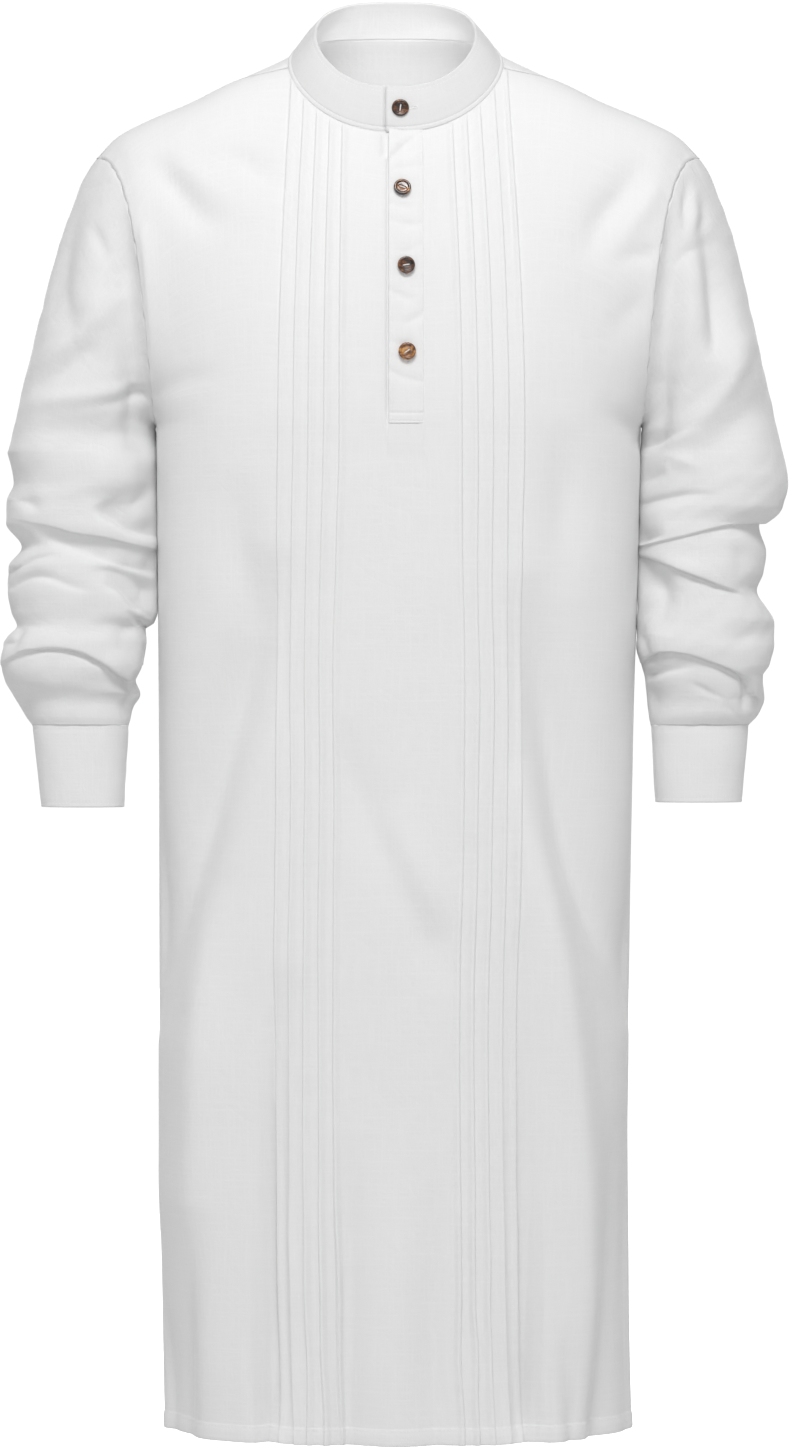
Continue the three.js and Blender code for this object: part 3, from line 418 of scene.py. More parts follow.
BACK_FOLDS = [
    ([(-196, -90, 1), (-150, -128, 5), (-112, -190, 0)], 13, 13),
    ([(198, -92, 1), (160, -120, 5), (118, -196, 0)], 13, 13),
    ([(-60, -50, 0), (-84, -150, 3), (-88, -300, 0)], 20, 20),
    ([(66, -54, 0), (82, -170, 3), (92, -340, 0)], 20, 20),
    ([(-40, -52, 1), (0, -60, 2), (44, -50, 1)], 8, 8),
    ([(-190, -262, 3), (-150, -232, 2), (-118, -214, 0)], 8, 8),
    ([(192, -268, 3), (154, -240, 2), (120, -218, 0)], 8, 8),
    ([(-70, -420, 0), (-98, -700, 6), (-104, -930, 7), (-110, -1130, 8)], 26, 20),
    ([(0, -480, 0), (-12, -760, 5), (-8, -1130, 7)], 28, 28),
    ([(80, -400, 0), (104, -720, 6), (112, -1130, 8)], 20, 26),
    ([(-52, -640, 0), (-56, -900, -4), (-58, -1130, -5)], 22, 22),
    ([(50, -600, 0), (54, -900, -4), (56, -1130, -5)], 22, 22),
    ([(-150, -380, 0), (-164, -700, 4), (-160, -1130, 5)], 18, 18),
    ([(152, -360, 0), (166, -660, 4), (160, -1130, 5)], 18, 18),
    ([(-134, -900, 0), (-132, -1130, -4)], 14, 14),
    ([(138, -930, 0), (136, -1130, -4)], 14, 14),
]
print("folds:", len(FRONT_FOLDS), "front,", len(BACK_FOLDS), "back")


# %% The body's surface
def ring(shape, turn):
    """One of the collar's rings: a squared-off oval seen from above, at height level + tilt cos + dip
    cos^2."""
    c, s = np.cos(turn), np.sin(turn)
    middle, deep = (shape["front"] + shape["back"]) / 2, (shape["back"] - shape["front"]) / 2
    x = COLLAR_CENTRE + shape["wide"] * signed_power(s, 2 / shape["power"])
    y = middle - deep * signed_power(c, 2 / shape["power"])
    return np.stack([x, y, shape["level"] + shape["tilt"] * c + shape["dip"] * c * c], axis=-1)


def turn_at(x):
    """The turn at which the front half of the collar's lower ring has a given x."""
    across = (x - COLLAR_CENTRE) / COLLAR_BASE["wide"]
    return np.arcsin(signed_power(np.clip(across, -1, 1), COLLAR_BASE["power"] / 2))


def half_width(x, z):
    """From the middle to the side seam, on the side that x is on."""
    return np.where(x < 0, along(BODY, "z", "right", z), along(BODY, "z", "left", z))


def section_depth(x, z, face):
    """Depth of the squared-off oval (|x| / width)^p + (|y| / depth)^p = 1 at x."""
    across = np.clip(np.abs(x) / half_width(x, z), 0, 1)
    sign = -1 if face == "front" else 1
    return sign * along(BODY, "z", face, z) * (1 - across**SECTION_POWER) ** (1 / SECTION_POWER)


def on_shoulder(x):
    """Points of the shoulder seam at x, starting where it meets the collar."""
    neck = ring(COLLAR_BASE, np.sign(x) * NECK_TURN)
    t = (np.abs(x) - np.abs(neck[:, 0])) / (SHOULDER_X - np.abs(neck[:, 0]))
    seam_x = mix(SHOULDER_SEAM["x"][0], SHOULDER_X, np.clip(t, 0, 1))
    ease = 1 - smooth(t * 4)
    y = along(SHOULDER_SEAM, "x", "y", seam_x) + (neck[:, 1] - SHOULDER_SEAM["y"][0]) * ease
    z = along(SHOULDER_SEAM, "x", "z", seam_x) + (neck[:, 2] - SHOULDER_SEAM["z"][0]) * ease
    return np.stack([x, y, z], axis=-1)


def upper_handle(top, side, across, nearer, face):
    """From a column's top to its upper handle: read from the table on the shoulder seam, blended towards
    a place of its own in the middle of the neckline."""
    rows = SEAM_HANDLES[face]
    x, y, z = (along(rows, "out", key, across) for key in "xyz")
    neck = ring(COLLAR_BASE, side * NECK_TURN)
    middle_y, middle_z = NECK_HANDLE[face]
    there_y = mix(middle_y, neck[:, 1] + y, nearer if face == "front" else nearer**2)
    there_z = mix(middle_z, neck[:, 2] + z, nearer**1.6)
    on_neck = np.stack([side * x * nearer**2, there_y - top[:, 1], there_z - top[:, 2]], axis=-1)
    return np.where((across > 0)[:, None], np.stack([side * x, y, z], axis=-1), on_neck)


def side_columns(side, out, face):
    """The part of a panel from x = SIDE_START (out 0) to the side seam and the armhole (out 1)."""

    def skirt_x(z):
        width = along(BODY, "z", "right" if side < 0 else "left", z)[:, None]
        start = np.arcsin((SIDE_START / width) ** (SECTION_POWER / 2))
        return side * width * np.sin(mix(start, np.pi / 2, out)) ** (2 / SECTION_POWER)

    top = on_shoulder(side * mix(SIDE_START, SHOULDER_X, out**0.85))
    neck = np.abs(ring(COLLAR_BASE, np.array([side * NECK_TURN]))[:, 0])
    across = np.clip((np.abs(top[:, 0]) - neck) / (SHOULDER_X - neck), 0, 1)
    return dict(x=skirt_x, top=top, across=across, nearer=np.ones_like(out), out=out)


def front_columns(x_of_z):
    """Columns of the front's middle, whose x at each height is given by x_of_z."""
    x = x_of_z(np.array([-30.0]))[0]
    neck = np.abs(ring(COLLAR_BASE, np.where(x < 0, -1, 1) * NECK_TURN)[:, 0] - COLLAR_CENTRE)
    on_neck = np.abs(x - COLLAR_CENTRE) < neck
    top = np.where(on_neck[:, None], ring(COLLAR_BASE, turn_at(x)), on_shoulder(x))
    reach = np.abs(ring(COLLAR_BASE, np.where(x < 0, -1, 1) * NECK_TURN)[:, 0])
    across = np.clip((np.abs(x) - reach) / (SHOULDER_X - reach), 0, 1)
    nearer = np.clip(np.abs(turn_at(x)) / NECK_TURN, 0, 1)
    return dict(x=x_of_z, top=top, across=across, nearer=nearer, out=np.zeros_like(x))


def back_columns(turn):
    """Columns of the back's middle, which meet the collar at these turns."""
    from_back = (np.pi - turn) / (np.pi - NECK_TURN)
    low = NECK_SPREAD * from_back
    return dict(
        x=lambda z: np.broadcast_to(low, (len(z), len(low))),
        top=ring(COLLAR_BASE, turn),
        across=np.zeros_like(turn),
        nearer=np.abs(from_back),
        out=np.zeros_like(turn),
    )


def panel_surface(parts, skirt_z, upper_t, face):
    """The smooth surface of a panel, rows from the hem up: level ovals below the armpits, Bezier curves
    above."""
    x = np.concatenate([part["x"](skirt_z) for part in parts], axis=1)
    z = np.broadcast_to(skirt_z[:, None], x.shape)
    skirt = np.stack([x, section_depth(x, z, face), z], axis=-1)
    values = ("top", "across", "nearer", "out")
    top, across, nearer, out = (np.concatenate([part[key] for part in parts]) for key in values)
    low = skirt[-1]
    side = np.where(low[:, 0] < 0, -1.0, 1.0)
    mirrored = np.stack([side, np.ones_like(side), np.ones_like(side)], axis=-1)
    start = mix(RISE[face][0], RISE[face][1], out[:, None] ** 2) * mirrored
    end = upper_handle(top, side, across, nearer, face)
    upper = bezier([p[None] for p in (low, low + start, top + end, top)], upper_t[:, None, None])
    return np.concatenate([skirt, upper[1:]]), out


armpit_depth = section_depth(np.array([0.0]), np.array([ARMPIT_Z]), "front")[0]
print("level at the armpits:", armpit_depth, "mm in front")

# %% [markdown]
# ## The front, its pintucks and its hem
#
# The front is one length of cloth. A pintuck is a narrow pleat, stitched down its whole length two or three
# millimetres from its folded edge and pressed to one side. Its cross-section is a low step: it rises slowly
# from the middle of the shirt and drops steeply at the folded edge. So the grid's columns crowd together at
# each tuck and spread out between. The hem is the same cloth turned up twice, so the bottom fourteen
# millimetres stand a little proud.

# %% Rows and columns of the panels
TUCK_OFFSETS = np.array([-5.0, -3.6, -2.4, -1.3, -0.3, 0.5, 1.1, 1.5, 1.75, 2.0, 2.4, 3.2, 4.6])
TUCK_HEIGHT, TUCK_SEAM = 2.3, -2.0
TUCKS = 5
hem_rows = HEM_Z + np.array([0, 0.5, 1.4, 3.5, 7, 10.5, 12.2, 13.2, 13.8, 14.4, 15.2, 17])
SKIRT_Z = np.concatenate([hem_rows, np.linspace(HEM_Z + 21, ARMPIT_Z, 144)])
UPPER_T = np.linspace(0, 1, 64)
TO_FRONT, TO_BACK = np.array([0, -1.0, 0.3]), np.array([0, 1.0, 0.3])
FRONT_SEED, BACK_SEED = 3, 23


def tuck_line(side, number, z):
    """x of a tuck's centre: its group's middle plus its place in the group."""
    key = "right" if side < 0 else "left"
    step = along(TUCK_LINES, "z", key + "_step", z)
    return along(TUCK_LINES, "z", key, z) + side * (number - (TUCKS - 1) / 2) * step


def tuck_wander(side, number, z):
    """How far a tuck strays sideways from its line, in millimetres: a sewn line is never quite
    straight."""
    seed = 10 * number + (5 if side > 0 else 0)
    low = smooth((-z - 880) / 250)
    group = (0.5 + 1.2 * low) * drift(z, z * 0, 150, 200 + side)
    return group + 0.35 * drift(z, z * 0, 190, seed) + (0.15 + 0.6 * low) * drift(z, z * 0, 80, seed + 1)


def tuck_x(z):
    """x of every column of the front's middle: five tucks, the plain middle, five tucks."""
    z = z[:, None]
    offsets = np.tile(TUCK_OFFSETS, TUCKS)
    blocks = {}
    for side in (-1, 1):
        lines = [tuck_line(side, n, z) + tuck_wander(side, n, z) for n in range(TUCKS)]
        blocks[side] = np.repeat(np.concatenate(lines, axis=1), len(TUCK_OFFSETS), axis=1) + side * offsets
    share = np.linspace(0, 1, BETWEEN + 2)[None, 1:-1]
    near = np.broadcast_to(NEAR_PLACKET, (len(z), len(NEAR_PLACKET)))
    before = mix(blocks[-1][:, :1], near[:, :1], share)
    after = mix(near[:, -1:], blocks[1][:, :1], share)
    return np.concatenate([blocks[-1][:, ::-1], before, near, after, blocks[1]], axis=1)


# Between the tucks: columns close to the placket's cut and its edges, and a few on the way to each group.
CUT_LEFT, CUT_RIGHT, BETWEEN = -3.5, 16.5, 7
NEAR_LEFT = [-14, -11.6, -10.2, -9.4, -8.8, -8.2, -7.6, -7, -6.2]
NEAR_RIGHT = [18.6, 20, 20.6, 21.2, 21.8, 22.6, 24.5, 27]
NEAR_PLACKET = np.array([*NEAR_LEFT, CUT_LEFT, 0, 4, 8, 12, CUT_RIGHT, *NEAR_RIGHT])
MIDDLE = len(NEAR_PLACKET) + 2 * BETWEEN
SIDE_OUT = 1 - (1 - np.linspace(0, 1, 27)) ** 1.15
tuck_step = smooth((TUCK_OFFSETS + 4.6) / 5) * (1 - smooth((TUCK_OFFSETS - 1.1) / 1.3))
tuck_rise = np.tile(TUCK_HEIGHT * tuck_step, TUCKS)


# %% The front panel
def uneven(x, z, seed):
    """The cloth's small unevenness, longer up and down than across."""
    return 0.6 * drift(x * 1.5, z * 0.3, 120, seed) + 0.25 * drift(x, z * 0.6, 46, seed + 1)


def body_relief(grid, folds, out, seed):
    """How far the body's cloth sinks below its smooth surface. Folds fade towards the seams."""
    x, z = grid[..., 0], grid[..., 2]
    upper = len(UPPER_T) - 1
    t = np.concatenate([np.zeros(len(grid) - upper), UPPER_T[1:]])[:, None]
    edge = np.where(t > 0, smooth((1 - out[None]) * 6), smooth((1 - out[None]) * 9))
    return (fold_depth(folds, x, z) + uneven(x, z, seed)) * smooth((1 - t) * 6) * edge


def armhole_pucker(out, t, seed):
    """Small pulls of the cloth where it is eased into the armhole's seam, dying out over about 2 cm."""
    near = np.exp(-(((1 - out[None]) * 150) / 9) ** 2) * (t > 0.02)
    return 0.55 * near * ripples(t, 16, seed)


def hem_lift(z):
    """The turned-up hem stands 1 mm proud below its seam, its fold is rounded, and the seam draws a
    groove."""
    up = z - HEM_Z
    proud = 1 - smooth((up - HEM_SEAM - 0.6) / 1.6)
    fold = 0.45 * (1 - smooth(up / 1.4))
    groove = 0.6 * np.exp(-(((up - HEM_SEAM) / 1.1) ** 2))
    return proud - fold - groove


def hem_wave(x, z, seed):
    """The hem's edge sways 1 mm in and out, dying out 7 cm above it."""
    return 1.1 * (1 - smooth((z - HEM_Z) / 70)) * drift(x, x * 0, 42, seed)


def build_panel(parts, face, folds, seed, rise=None, shape=None):
    """A panel's finished grid: smooth surface, then folds, then hem, puckers and, on the front, the
    tucks."""
    grid, out = panel_surface(parts, SKIRT_Z, UPPER_T, face)
    if shape is not None:
        grid = shape(grid)
    upper = np.where(np.arange(len(grid)) < len(SKIRT_Z), 0.0, 60.0)
    forward = np.full(grid.shape[:2], -120.0 if face == "front" else 120.0)
    upper = np.broadcast_to(upper[:, None], grid.shape[:2])
    outward = np.stack([grid[..., 0] * 0.6, forward, upper], axis=-1)
    normals = grid_normals(grid, outward)
    sunk = grid - normals * body_relief(grid, folds, out, seed)[..., None]
    normals = grid_normals(sunk, outward)
    t = np.concatenate([np.zeros(len(SKIRT_Z)), UPPER_T[1:]])[:, None]
    lift = hem_lift(grid[..., 2]) + armhole_pucker(out, t, seed + 7)
    lift = lift + hem_wave(grid[..., 0], grid[..., 2], seed + 3)
    if rise is not None:
        lift = lift + rise(grid, t)
    return sunk + normals * lift[..., None]


def front_rise(grid, t):
    """The tucks' steps, half as high again near the hem and fading just under the collar. Round the
    placket the front sinks beside both edges, and the tail of the lower band is felt through the
    cloth."""
    rise = np.zeros(grid.shape[:2])
    side = len(SIDE_OUT)
    tucks = TUCKS * len(TUCK_OFFSETS)
    under_collar = smooth((1 - t) * 14)
    z = grid[:, :1, 2]
    life = 1 + 0.25 * drift(z, z * 0, 160, 91) + 0.5 * smooth((-600 - z) / 300)
    rise[:, side : side + tucks] = tuck_rise[::-1] * under_collar * life
    rise[:, -side - tucks : -side] = tuck_rise * under_collar * life
    x, z = grid[..., 0], grid[..., 2]
    tail_wide = smooth((15.5 - np.abs(x - PLACKET_MIDDLE)) / 1.5)
    tail = 0.6 * tail_wide * smooth((z + 326) / 2) * (1 - smooth((z + 300) / 3))
    beside = 1.6 * np.exp(-(((x + 8.6) / 1.1) ** 2)) + 0.24 * np.exp(-(((x - 21.3) / 0.9) ** 2))
    beside = beside * smooth((z + 309) / 6) * smooth((1 - t) * 20)
    corner = 2.6 * np.exp(-(((x + 11.2) / 2.4) ** 2)) * smooth((z + 86) / 4) * smooth((1 - t) * 30)
    return rise + tail - beside - corner


def front_keep(grid):
    """Faces that stay: all but those over the placket's cut, from the armpit level up."""
    middle = (grid[:-1, :-1, 0] + grid[1:, 1:, 0]) / 2
    above = (np.arange(len(grid) - 1) >= len(SKIRT_Z) + 1)[:, None]
    columns = np.arange(grid.shape[1] - 1)[None]
    centre = len(SIDE_OUT) + TUCKS * len(TUCK_OFFSETS)
    inner = (columns >= centre) & (columns < centre + MIDDLE - 1)
    return ~(above & inner & (middle > CUT_LEFT) & (middle < CUT_RIGHT))


front_parts = [
    side_columns(-1, SIDE_OUT[::-1], "front"),
    front_columns(tuck_x),
    side_columns(1, SIDE_OUT, "front"),
]
front_grid = build_panel(front_parts, "front", FRONT_FOLDS, FRONT_SEED, front_rise)
front_normals = grid_normals(front_grid, TO_FRONT)
front_panel = cloth_mesh("front_cloth", front_grid, front_normals, keep=front_keep(front_grid))
thicken(front_panel, CLOTH)
print("front panel:", front_grid.shape[0], "rows,", front_grid.shape[1], "columns")

# %% [markdown]
# ## The back
#
# The back is plain. Its middle columns fan out from the collar's seam, evenly spaced round the neck, and
# run down over the shoulder blades. Where they leave the collar close to the shoulder seam they crowd
# together, so the upper part is relaxed a little afterwards: each inner point moves towards the mean of its
# four neighbours, which is what stretched cloth does by itself.


# %% The back panel
def relaxed(grid, rounds):
    """Each inner point of the upper part goes half-way to the mean of its neighbours, a number of
    rounds."""
    grid = grid.copy()
    first = len(SKIRT_Z) - 8
    reach = smooth((grid[first:, :, 2] + 260) / 90)[1:-1, 1:-1, None]
    for _ in range(rounds):
        part = grid[first:]
        mean = (part[:-2, 1:-1] + part[2:, 1:-1] + part[1:-1, :-2] + part[1:-1, 2:]) / 4
        part[1:-1, 1:-1] += 0.5 * reach * (mean - part[1:-1, 1:-1])
    return grid


back_parts = [
    side_columns(-1, SIDE_OUT[::-1], "back"),
    back_columns(np.linspace(2 * np.pi - NECK_TURN, NECK_TURN, 62)),
    side_columns(1, SIDE_OUT, "back"),
]
back_grid = build_panel(back_parts, "back", BACK_FOLDS, BACK_SEED, shape=lambda grid: relaxed(grid, 40))
back_normals = grid_normals(back_grid, TO_BACK)
back_panel = cloth_mesh("back_cloth", back_grid, back_normals)
thicken(back_panel, CLOTH)
print("back panel:", back_grid.shape[0], "rows,", back_grid.shape[1], "columns")

# %% [markdown]
# ## The placket
#
# The front is cut open from the neck to the breastbone. The cut's right edge carries the lower band with
# the buttons, and the left one the upper band with the buttonholes, which laps over it as on men's shirts.
# Both are strips that follow the front's own surface at a small distance, so they are made from the same
# functions. The upper band's free edge stands off a little, most just below the collar.

# %% The two placket bands
PLACKET_WIDE, PLACKET_FOOT, PLACKET_HEAD = 28.0, -304.0, 0.998
UNDER_WIDE, UNDER_FOOT = 30.0, -324.0
PLACKET_SEAMS_X, PLACKET_SEAMS_Z = (-5.3, 18.3), (-295.5, -302.0)
PLACKET_CREASES = [
    ([(-8, -90, 1.0), (0, -80, 1.6), (9, -71, 1.5), (17, -64, 0.8)], 1.6, 4.5),
    ([(-8, -84, -0.5), (-3, -76, -0.9), (4, -69, -0.6)], 3, 3),
    ([(6, -88, 0), (13, -85, -0.8), (20, -80, -0.4)], 3.5, 3.5),
    ([(-7, -98, 0.4), (6, -94, 0.9), (20, -93, 0.7)], 2.5, 3),
    ([(-7, -124, 0.9), (4, -127, 0.9), (16, -127, 0)], 2.5, 3.5),
    ([(-6, -139, 0.5), (8, -142, 0.9), (20, -141, 0.7)], 2.5, 3),
    ([(-5, -160, 0), (6, -164, 0.8), (19, -158, 0.5)], 3, 3),
    ([(-7, -196, 0.9), (6, -202, 0.9), (16, -204, 0)], 3, 4),
    ([(0, -226, 0), (12, -220, 0.9), (20, -215, 0.9)], 3, 4),
    ([(-7, -238, 0.4), (5, -240, 0.7), (17, -236, 0)], 3, 3),
    ([(-7, -262, 0.9), (6, -267, 0.8), (19, -270, 0.7)], 3, 4),
]


def front_surface(places, foot, head, rows):
    """The folded front at straight columns, in rows that crowd near the foot, from z = foot to t =
    head."""
    skirt, upper = np.linspace(-345, ARMPIT_Z, 46), np.linspace(0, head, 330)
    columns = front_columns(lambda z: np.broadcast_to(places, (len(z), len(places))))
    grid, _ = panel_surface([columns], skirt, upper, "front")
    first = np.interp(foot, grid[:, len(places) // 2, 2], np.arange(len(grid)))
    at = first + (len(grid) - 1 - first) * np.linspace(0, 1, rows) ** 1.5
    low = np.minimum(at.astype(int), len(grid) - 2)
    grid = mix(grid[low], grid[low + 1], (at - low)[:, None, None])
    row_t = np.concatenate([np.zeros(len(skirt) - 1), upper])
    t = np.interp(at, np.arange(len(row_t)), row_t)[:, None]
    normals = grid_normals(grid, TO_FRONT)
    x, z = grid[..., 0], grid[..., 2]
    depth = (fold_depth(FRONT_FOLDS, x, z) + uneven(x, z, FRONT_SEED)) * smooth((1 - t) * 6)
    sunk = grid - normals * depth[..., None]
    return sunk, grid_normals(sunk, TO_FRONT)


def edge_round(inside, radius):
    """How much a pressed edge falls away, `inside` millimetres from it: a quarter circle over the
    radius."""
    return radius * (1 - np.sqrt(1 - (1 - np.clip(inside / radius, 0, 1)) ** 2))


def line_groove(height, places, depth, wide):
    """Narrow grooves where thread pulls the cloth in, at these heights on a band."""
    return sum(depth * np.exp(-(((height - place) / wide) ** 2)) for place in places)


def strip_columns(middle, wide):
    """Columns that crowd towards both edges of a strip."""
    return middle + wide / 2 * np.sin(np.linspace(-np.pi / 2, np.pi / 2, 31))


over_x = strip_columns(PLACKET_MIDDLE, PLACKET_WIDE)
over_base, over_normals = front_surface(over_x, PLACKET_FOOT, PLACKET_HEAD, 170)
x, z = over_base[..., 0], over_base[..., 2]
from_sides = PLACKET_WIDE / 2 - np.abs(x - PLACKET_MIDDLE)
rounded = edge_round(from_sides, 0.8) + edge_round(z - PLACKET_FOOT, 0.8)
stands_off = 1.1 * smooth((z + 296) / 20) + 2.2 * smooth((z + 112) / 24) * (1 - smooth((z + 60) / 7))
free_edge = stands_off * np.exp(-(((x + 7.5) / 9) ** 2))
groove = line_groove(x, PLACKET_SEAMS_X, 0.22, 0.6)
groove += line_groove(z, PLACKET_SEAMS_Z[:1], 0.5, 0.8) + line_groove(z, PLACKET_SEAMS_Z[1:], 0.25, 0.6)
lift = 1.35 - 0.55 * smooth((x - 16.5) / 4) + free_edge - rounded - groove - fold_depth(PLACKET_CREASES, x, z)
over_grid = over_base + over_normals * lift[..., None]
placket_over = thicken(cloth_mesh("placket_upper_band", over_grid, over_normals), 1.0)

under_x = strip_columns(PLACKET_MIDDLE, UNDER_WIDE)
under_base, under_normals = front_surface(under_x, UNDER_FOOT, PLACKET_HEAD, 120)
under_grid = under_base - under_normals * (0.5 + CLOTH)
placket_under = thicken(cloth_mesh("placket_lower_band", under_grid, under_normals), 1.1)
print("placket bands:", over_grid.shape[:2], under_grid.shape[:2])

# %% [markdown]
# ## The stand collar
#
# The collar is a doubled band, stiffened inside, that leans in towards the neck. It runs once round and
# laps over itself at the front. Its cross-section is a closed loop: up the outside, over a rounded top
# edge, down the inside and round under. The loop is carried round the neck along the turn, and both ends
# are closed. The button end runs a little deeper, so that the other end can lie on it.

# %% Collar
BAND = 2.4
OVER_END, UNDER_END, UNDER_DEPTH = -9.7, 17.0, 2.2
COLLAR_HEIGHT, COLLAR_SEAMS = 37.0, (3.4, 33.6)


def neck_outward(points):
    """The direction of the collar's foot, out and up from the neck's middle."""
    radial = points * [1, 1, 0] - [COLLAR_CENTRE, -4, 0]
    return unit(unit(radial) + [0, 0, 0.75])


def collar_points(turn, up, sink):
    """A straight line from the lower ring to the upper one, swelled outwards by a sine in the middle."""
    low = ring(COLLAR_BASE, turn)
    outward = neck_outward(low)
    radial = unit(outward * [1, 1, 0])
    rise = unit(np.cross(np.cross(radial, np.array([0, 0, 1.0])), outward))
    rise = np.where(rise[..., 2:] > 0, rise, -rise)
    start = low - rise * 0.4 + outward * 0.7
    line = mix(start, ring(COLLAR_TOP, turn), up[..., None])
    return line + radial * (np.sin(np.pi * up) * 1.2 - sink)[..., None]


def collar_sink(turn):
    """The button end runs 2.2 mm deeper, so that the buttonhole end can lie on it."""
    past = turn_at(np.array(OVER_END)) - 0.06 - turn
    beside = turn_at(np.array(OVER_END - 1.2)) - turn
    return UNDER_DEPTH * (1 - smooth(past / 0.35)) + 1.2 * np.exp(-((beside / 0.016) ** 2))


def band_loop(outer, normals, rise, thick, groove):
    """A closed cross-section round a band: the outer rows, a half circle over the top edge, the inner
    rows back down, and a half circle under the lower edge. The first axis of the result runs round the
    loop."""
    half = thick / 2
    bend = np.linspace(0, np.pi, 7)[1:-1][:, None, None]
    over = outer[-1] - normals[-1] * half + normals[-1] * half * np.cos(bend) + rise * half * np.sin(bend)
    inner = outer[::-1] - normals[::-1] * thick
    under = outer[0] - normals[0] * half - normals[0] * half * np.cos(bend) - rise * half * np.sin(bend)
    return np.concatenate([outer - normals * groove[..., None], over, inner, under])


def closed_band(name, loop, wraps):
    """A mesh from a loop carried along a path. Open ends are closed by a fan to their middle."""
    rows, columns = loop.shape[:2]
    grid = loop.transpose(1, 0, 2)
    points = grid.reshape(-1, 3)
    faces, along_path, round_loop = grid_faces(columns + int(wraps), rows, wraps=True)
    faces = faces % len(points)
    once_round = np.concatenate([grid, grid[:, :1]], axis=1)
    v = np.append(0, np.cumsum(np.linalg.norm(np.diff(once_round, axis=1), axis=-1).mean(axis=0)))
    whole_path = np.concatenate([grid, grid[:1]], axis=0) if wraps else grid
    u = np.append(0, np.cumsum(np.linalg.norm(np.diff(whole_path, axis=0), axis=-1).mean(axis=1)))
    uvs = np.stack([u[along_path], v[round_loop]], axis=-1)
    a, b, c = (points[faces[:, k]] for k in (0, 1, 3))
    inside_out = np.sum(np.cross(b - a, c - a) * (a - points.mean(axis=0))) < 0
    if inside_out:
        faces, uvs = faces[:, ::-1], uvs[:, ::-1]
    uvs = uvs.reshape(-1, 2)
    if wraps:
        return finish_mesh(name, points, faces, uvs)
    first = np.arange(rows)
    last = first + (columns - 1) * rows
    fan_start = np.stack([np.full(rows, len(points)), np.roll(first, -1), first], axis=1)
    fan_end = np.stack([last, np.roll(last, -1), np.full(rows, len(points) + 1)], axis=1)
    fans = np.concatenate([fan_start, fan_end])
    points = np.concatenate([points, grid[[0, -1]].mean(axis=1)])
    uvs = np.concatenate([uvs, np.zeros((fans.size, 2))])
    return finish_mesh(name, points, faces, uvs, fans[:, ::-1] if inside_out else fans)


start_turn = turn_at(np.array(UNDER_END))
end_turn = turn_at(np.array(OVER_END)) - 2 * np.pi
near, past_end = (turn_at(np.array(x)) for x in (OVER_END + 2.0, OVER_END - 6.0))
button_end, flap_end = np.linspace(start_turn, near, 12)[:-1], np.linspace(near, past_end, 22)
collar_turns = np.concatenate([button_end, flap_end, np.linspace(past_end, end_turn, 240)[1:]])
foot_rows, middle_rows = np.linspace(0.05, 0.14, 7), np.linspace(0.17, 0.93, 19)
collar_up = np.concatenate([[0.0, 0.012, 0.03], foot_rows, middle_rows, [0.95, 0.965, 0.976]])
turn_grid, up_grid = np.meshgrid(collar_turns, collar_up)
waves = 0.45 * drift(turn_grid * 62, up_grid * 30, 70, 51)
waves += 0.18 * drift(turn_grid * 62, up_grid * 37, 22, 52)
lifted = 0.9 * smooth((turn_grid - end_turn - 0.1) / -0.1)
swell = waves * np.sin(np.pi * up_grid) + lifted
collar_outer = collar_points(turn_grid, up_grid, collar_sink(turn_grid) - swell)
collar_away = np.stack([np.sin(turn_grid), -np.cos(turn_grid), np.full(turn_grid.shape, 0.3)], axis=-1)
collar_normals = grid_normals(collar_outer, collar_away)
collar_rise = unit(collar_outer[-1] - collar_outer[-2])
height = up_grid * COLLAR_HEIGHT
ledge = 0.7 * (1 - smooth((height - 2.2) / 1.2))
collar_groove = line_groove(height, COLLAR_SEAMS[:1], 0.55, 0.8) - ledge
collar_groove += line_groove(height, COLLAR_SEAMS[1:], 0.3, 0.7)
collar_loop = band_loop(collar_outer, collar_normals, collar_rise, BAND, collar_groove)
collar = closed_band("stand_collar", collar_loop, wraps=False)
top_length = np.linalg.norm(np.diff(collar_outer[-1], axis=0), axis=1).sum()
print("collar:", len(collar.data.polygons), "faces, once round", round(float(top_length)), "mm at its top")
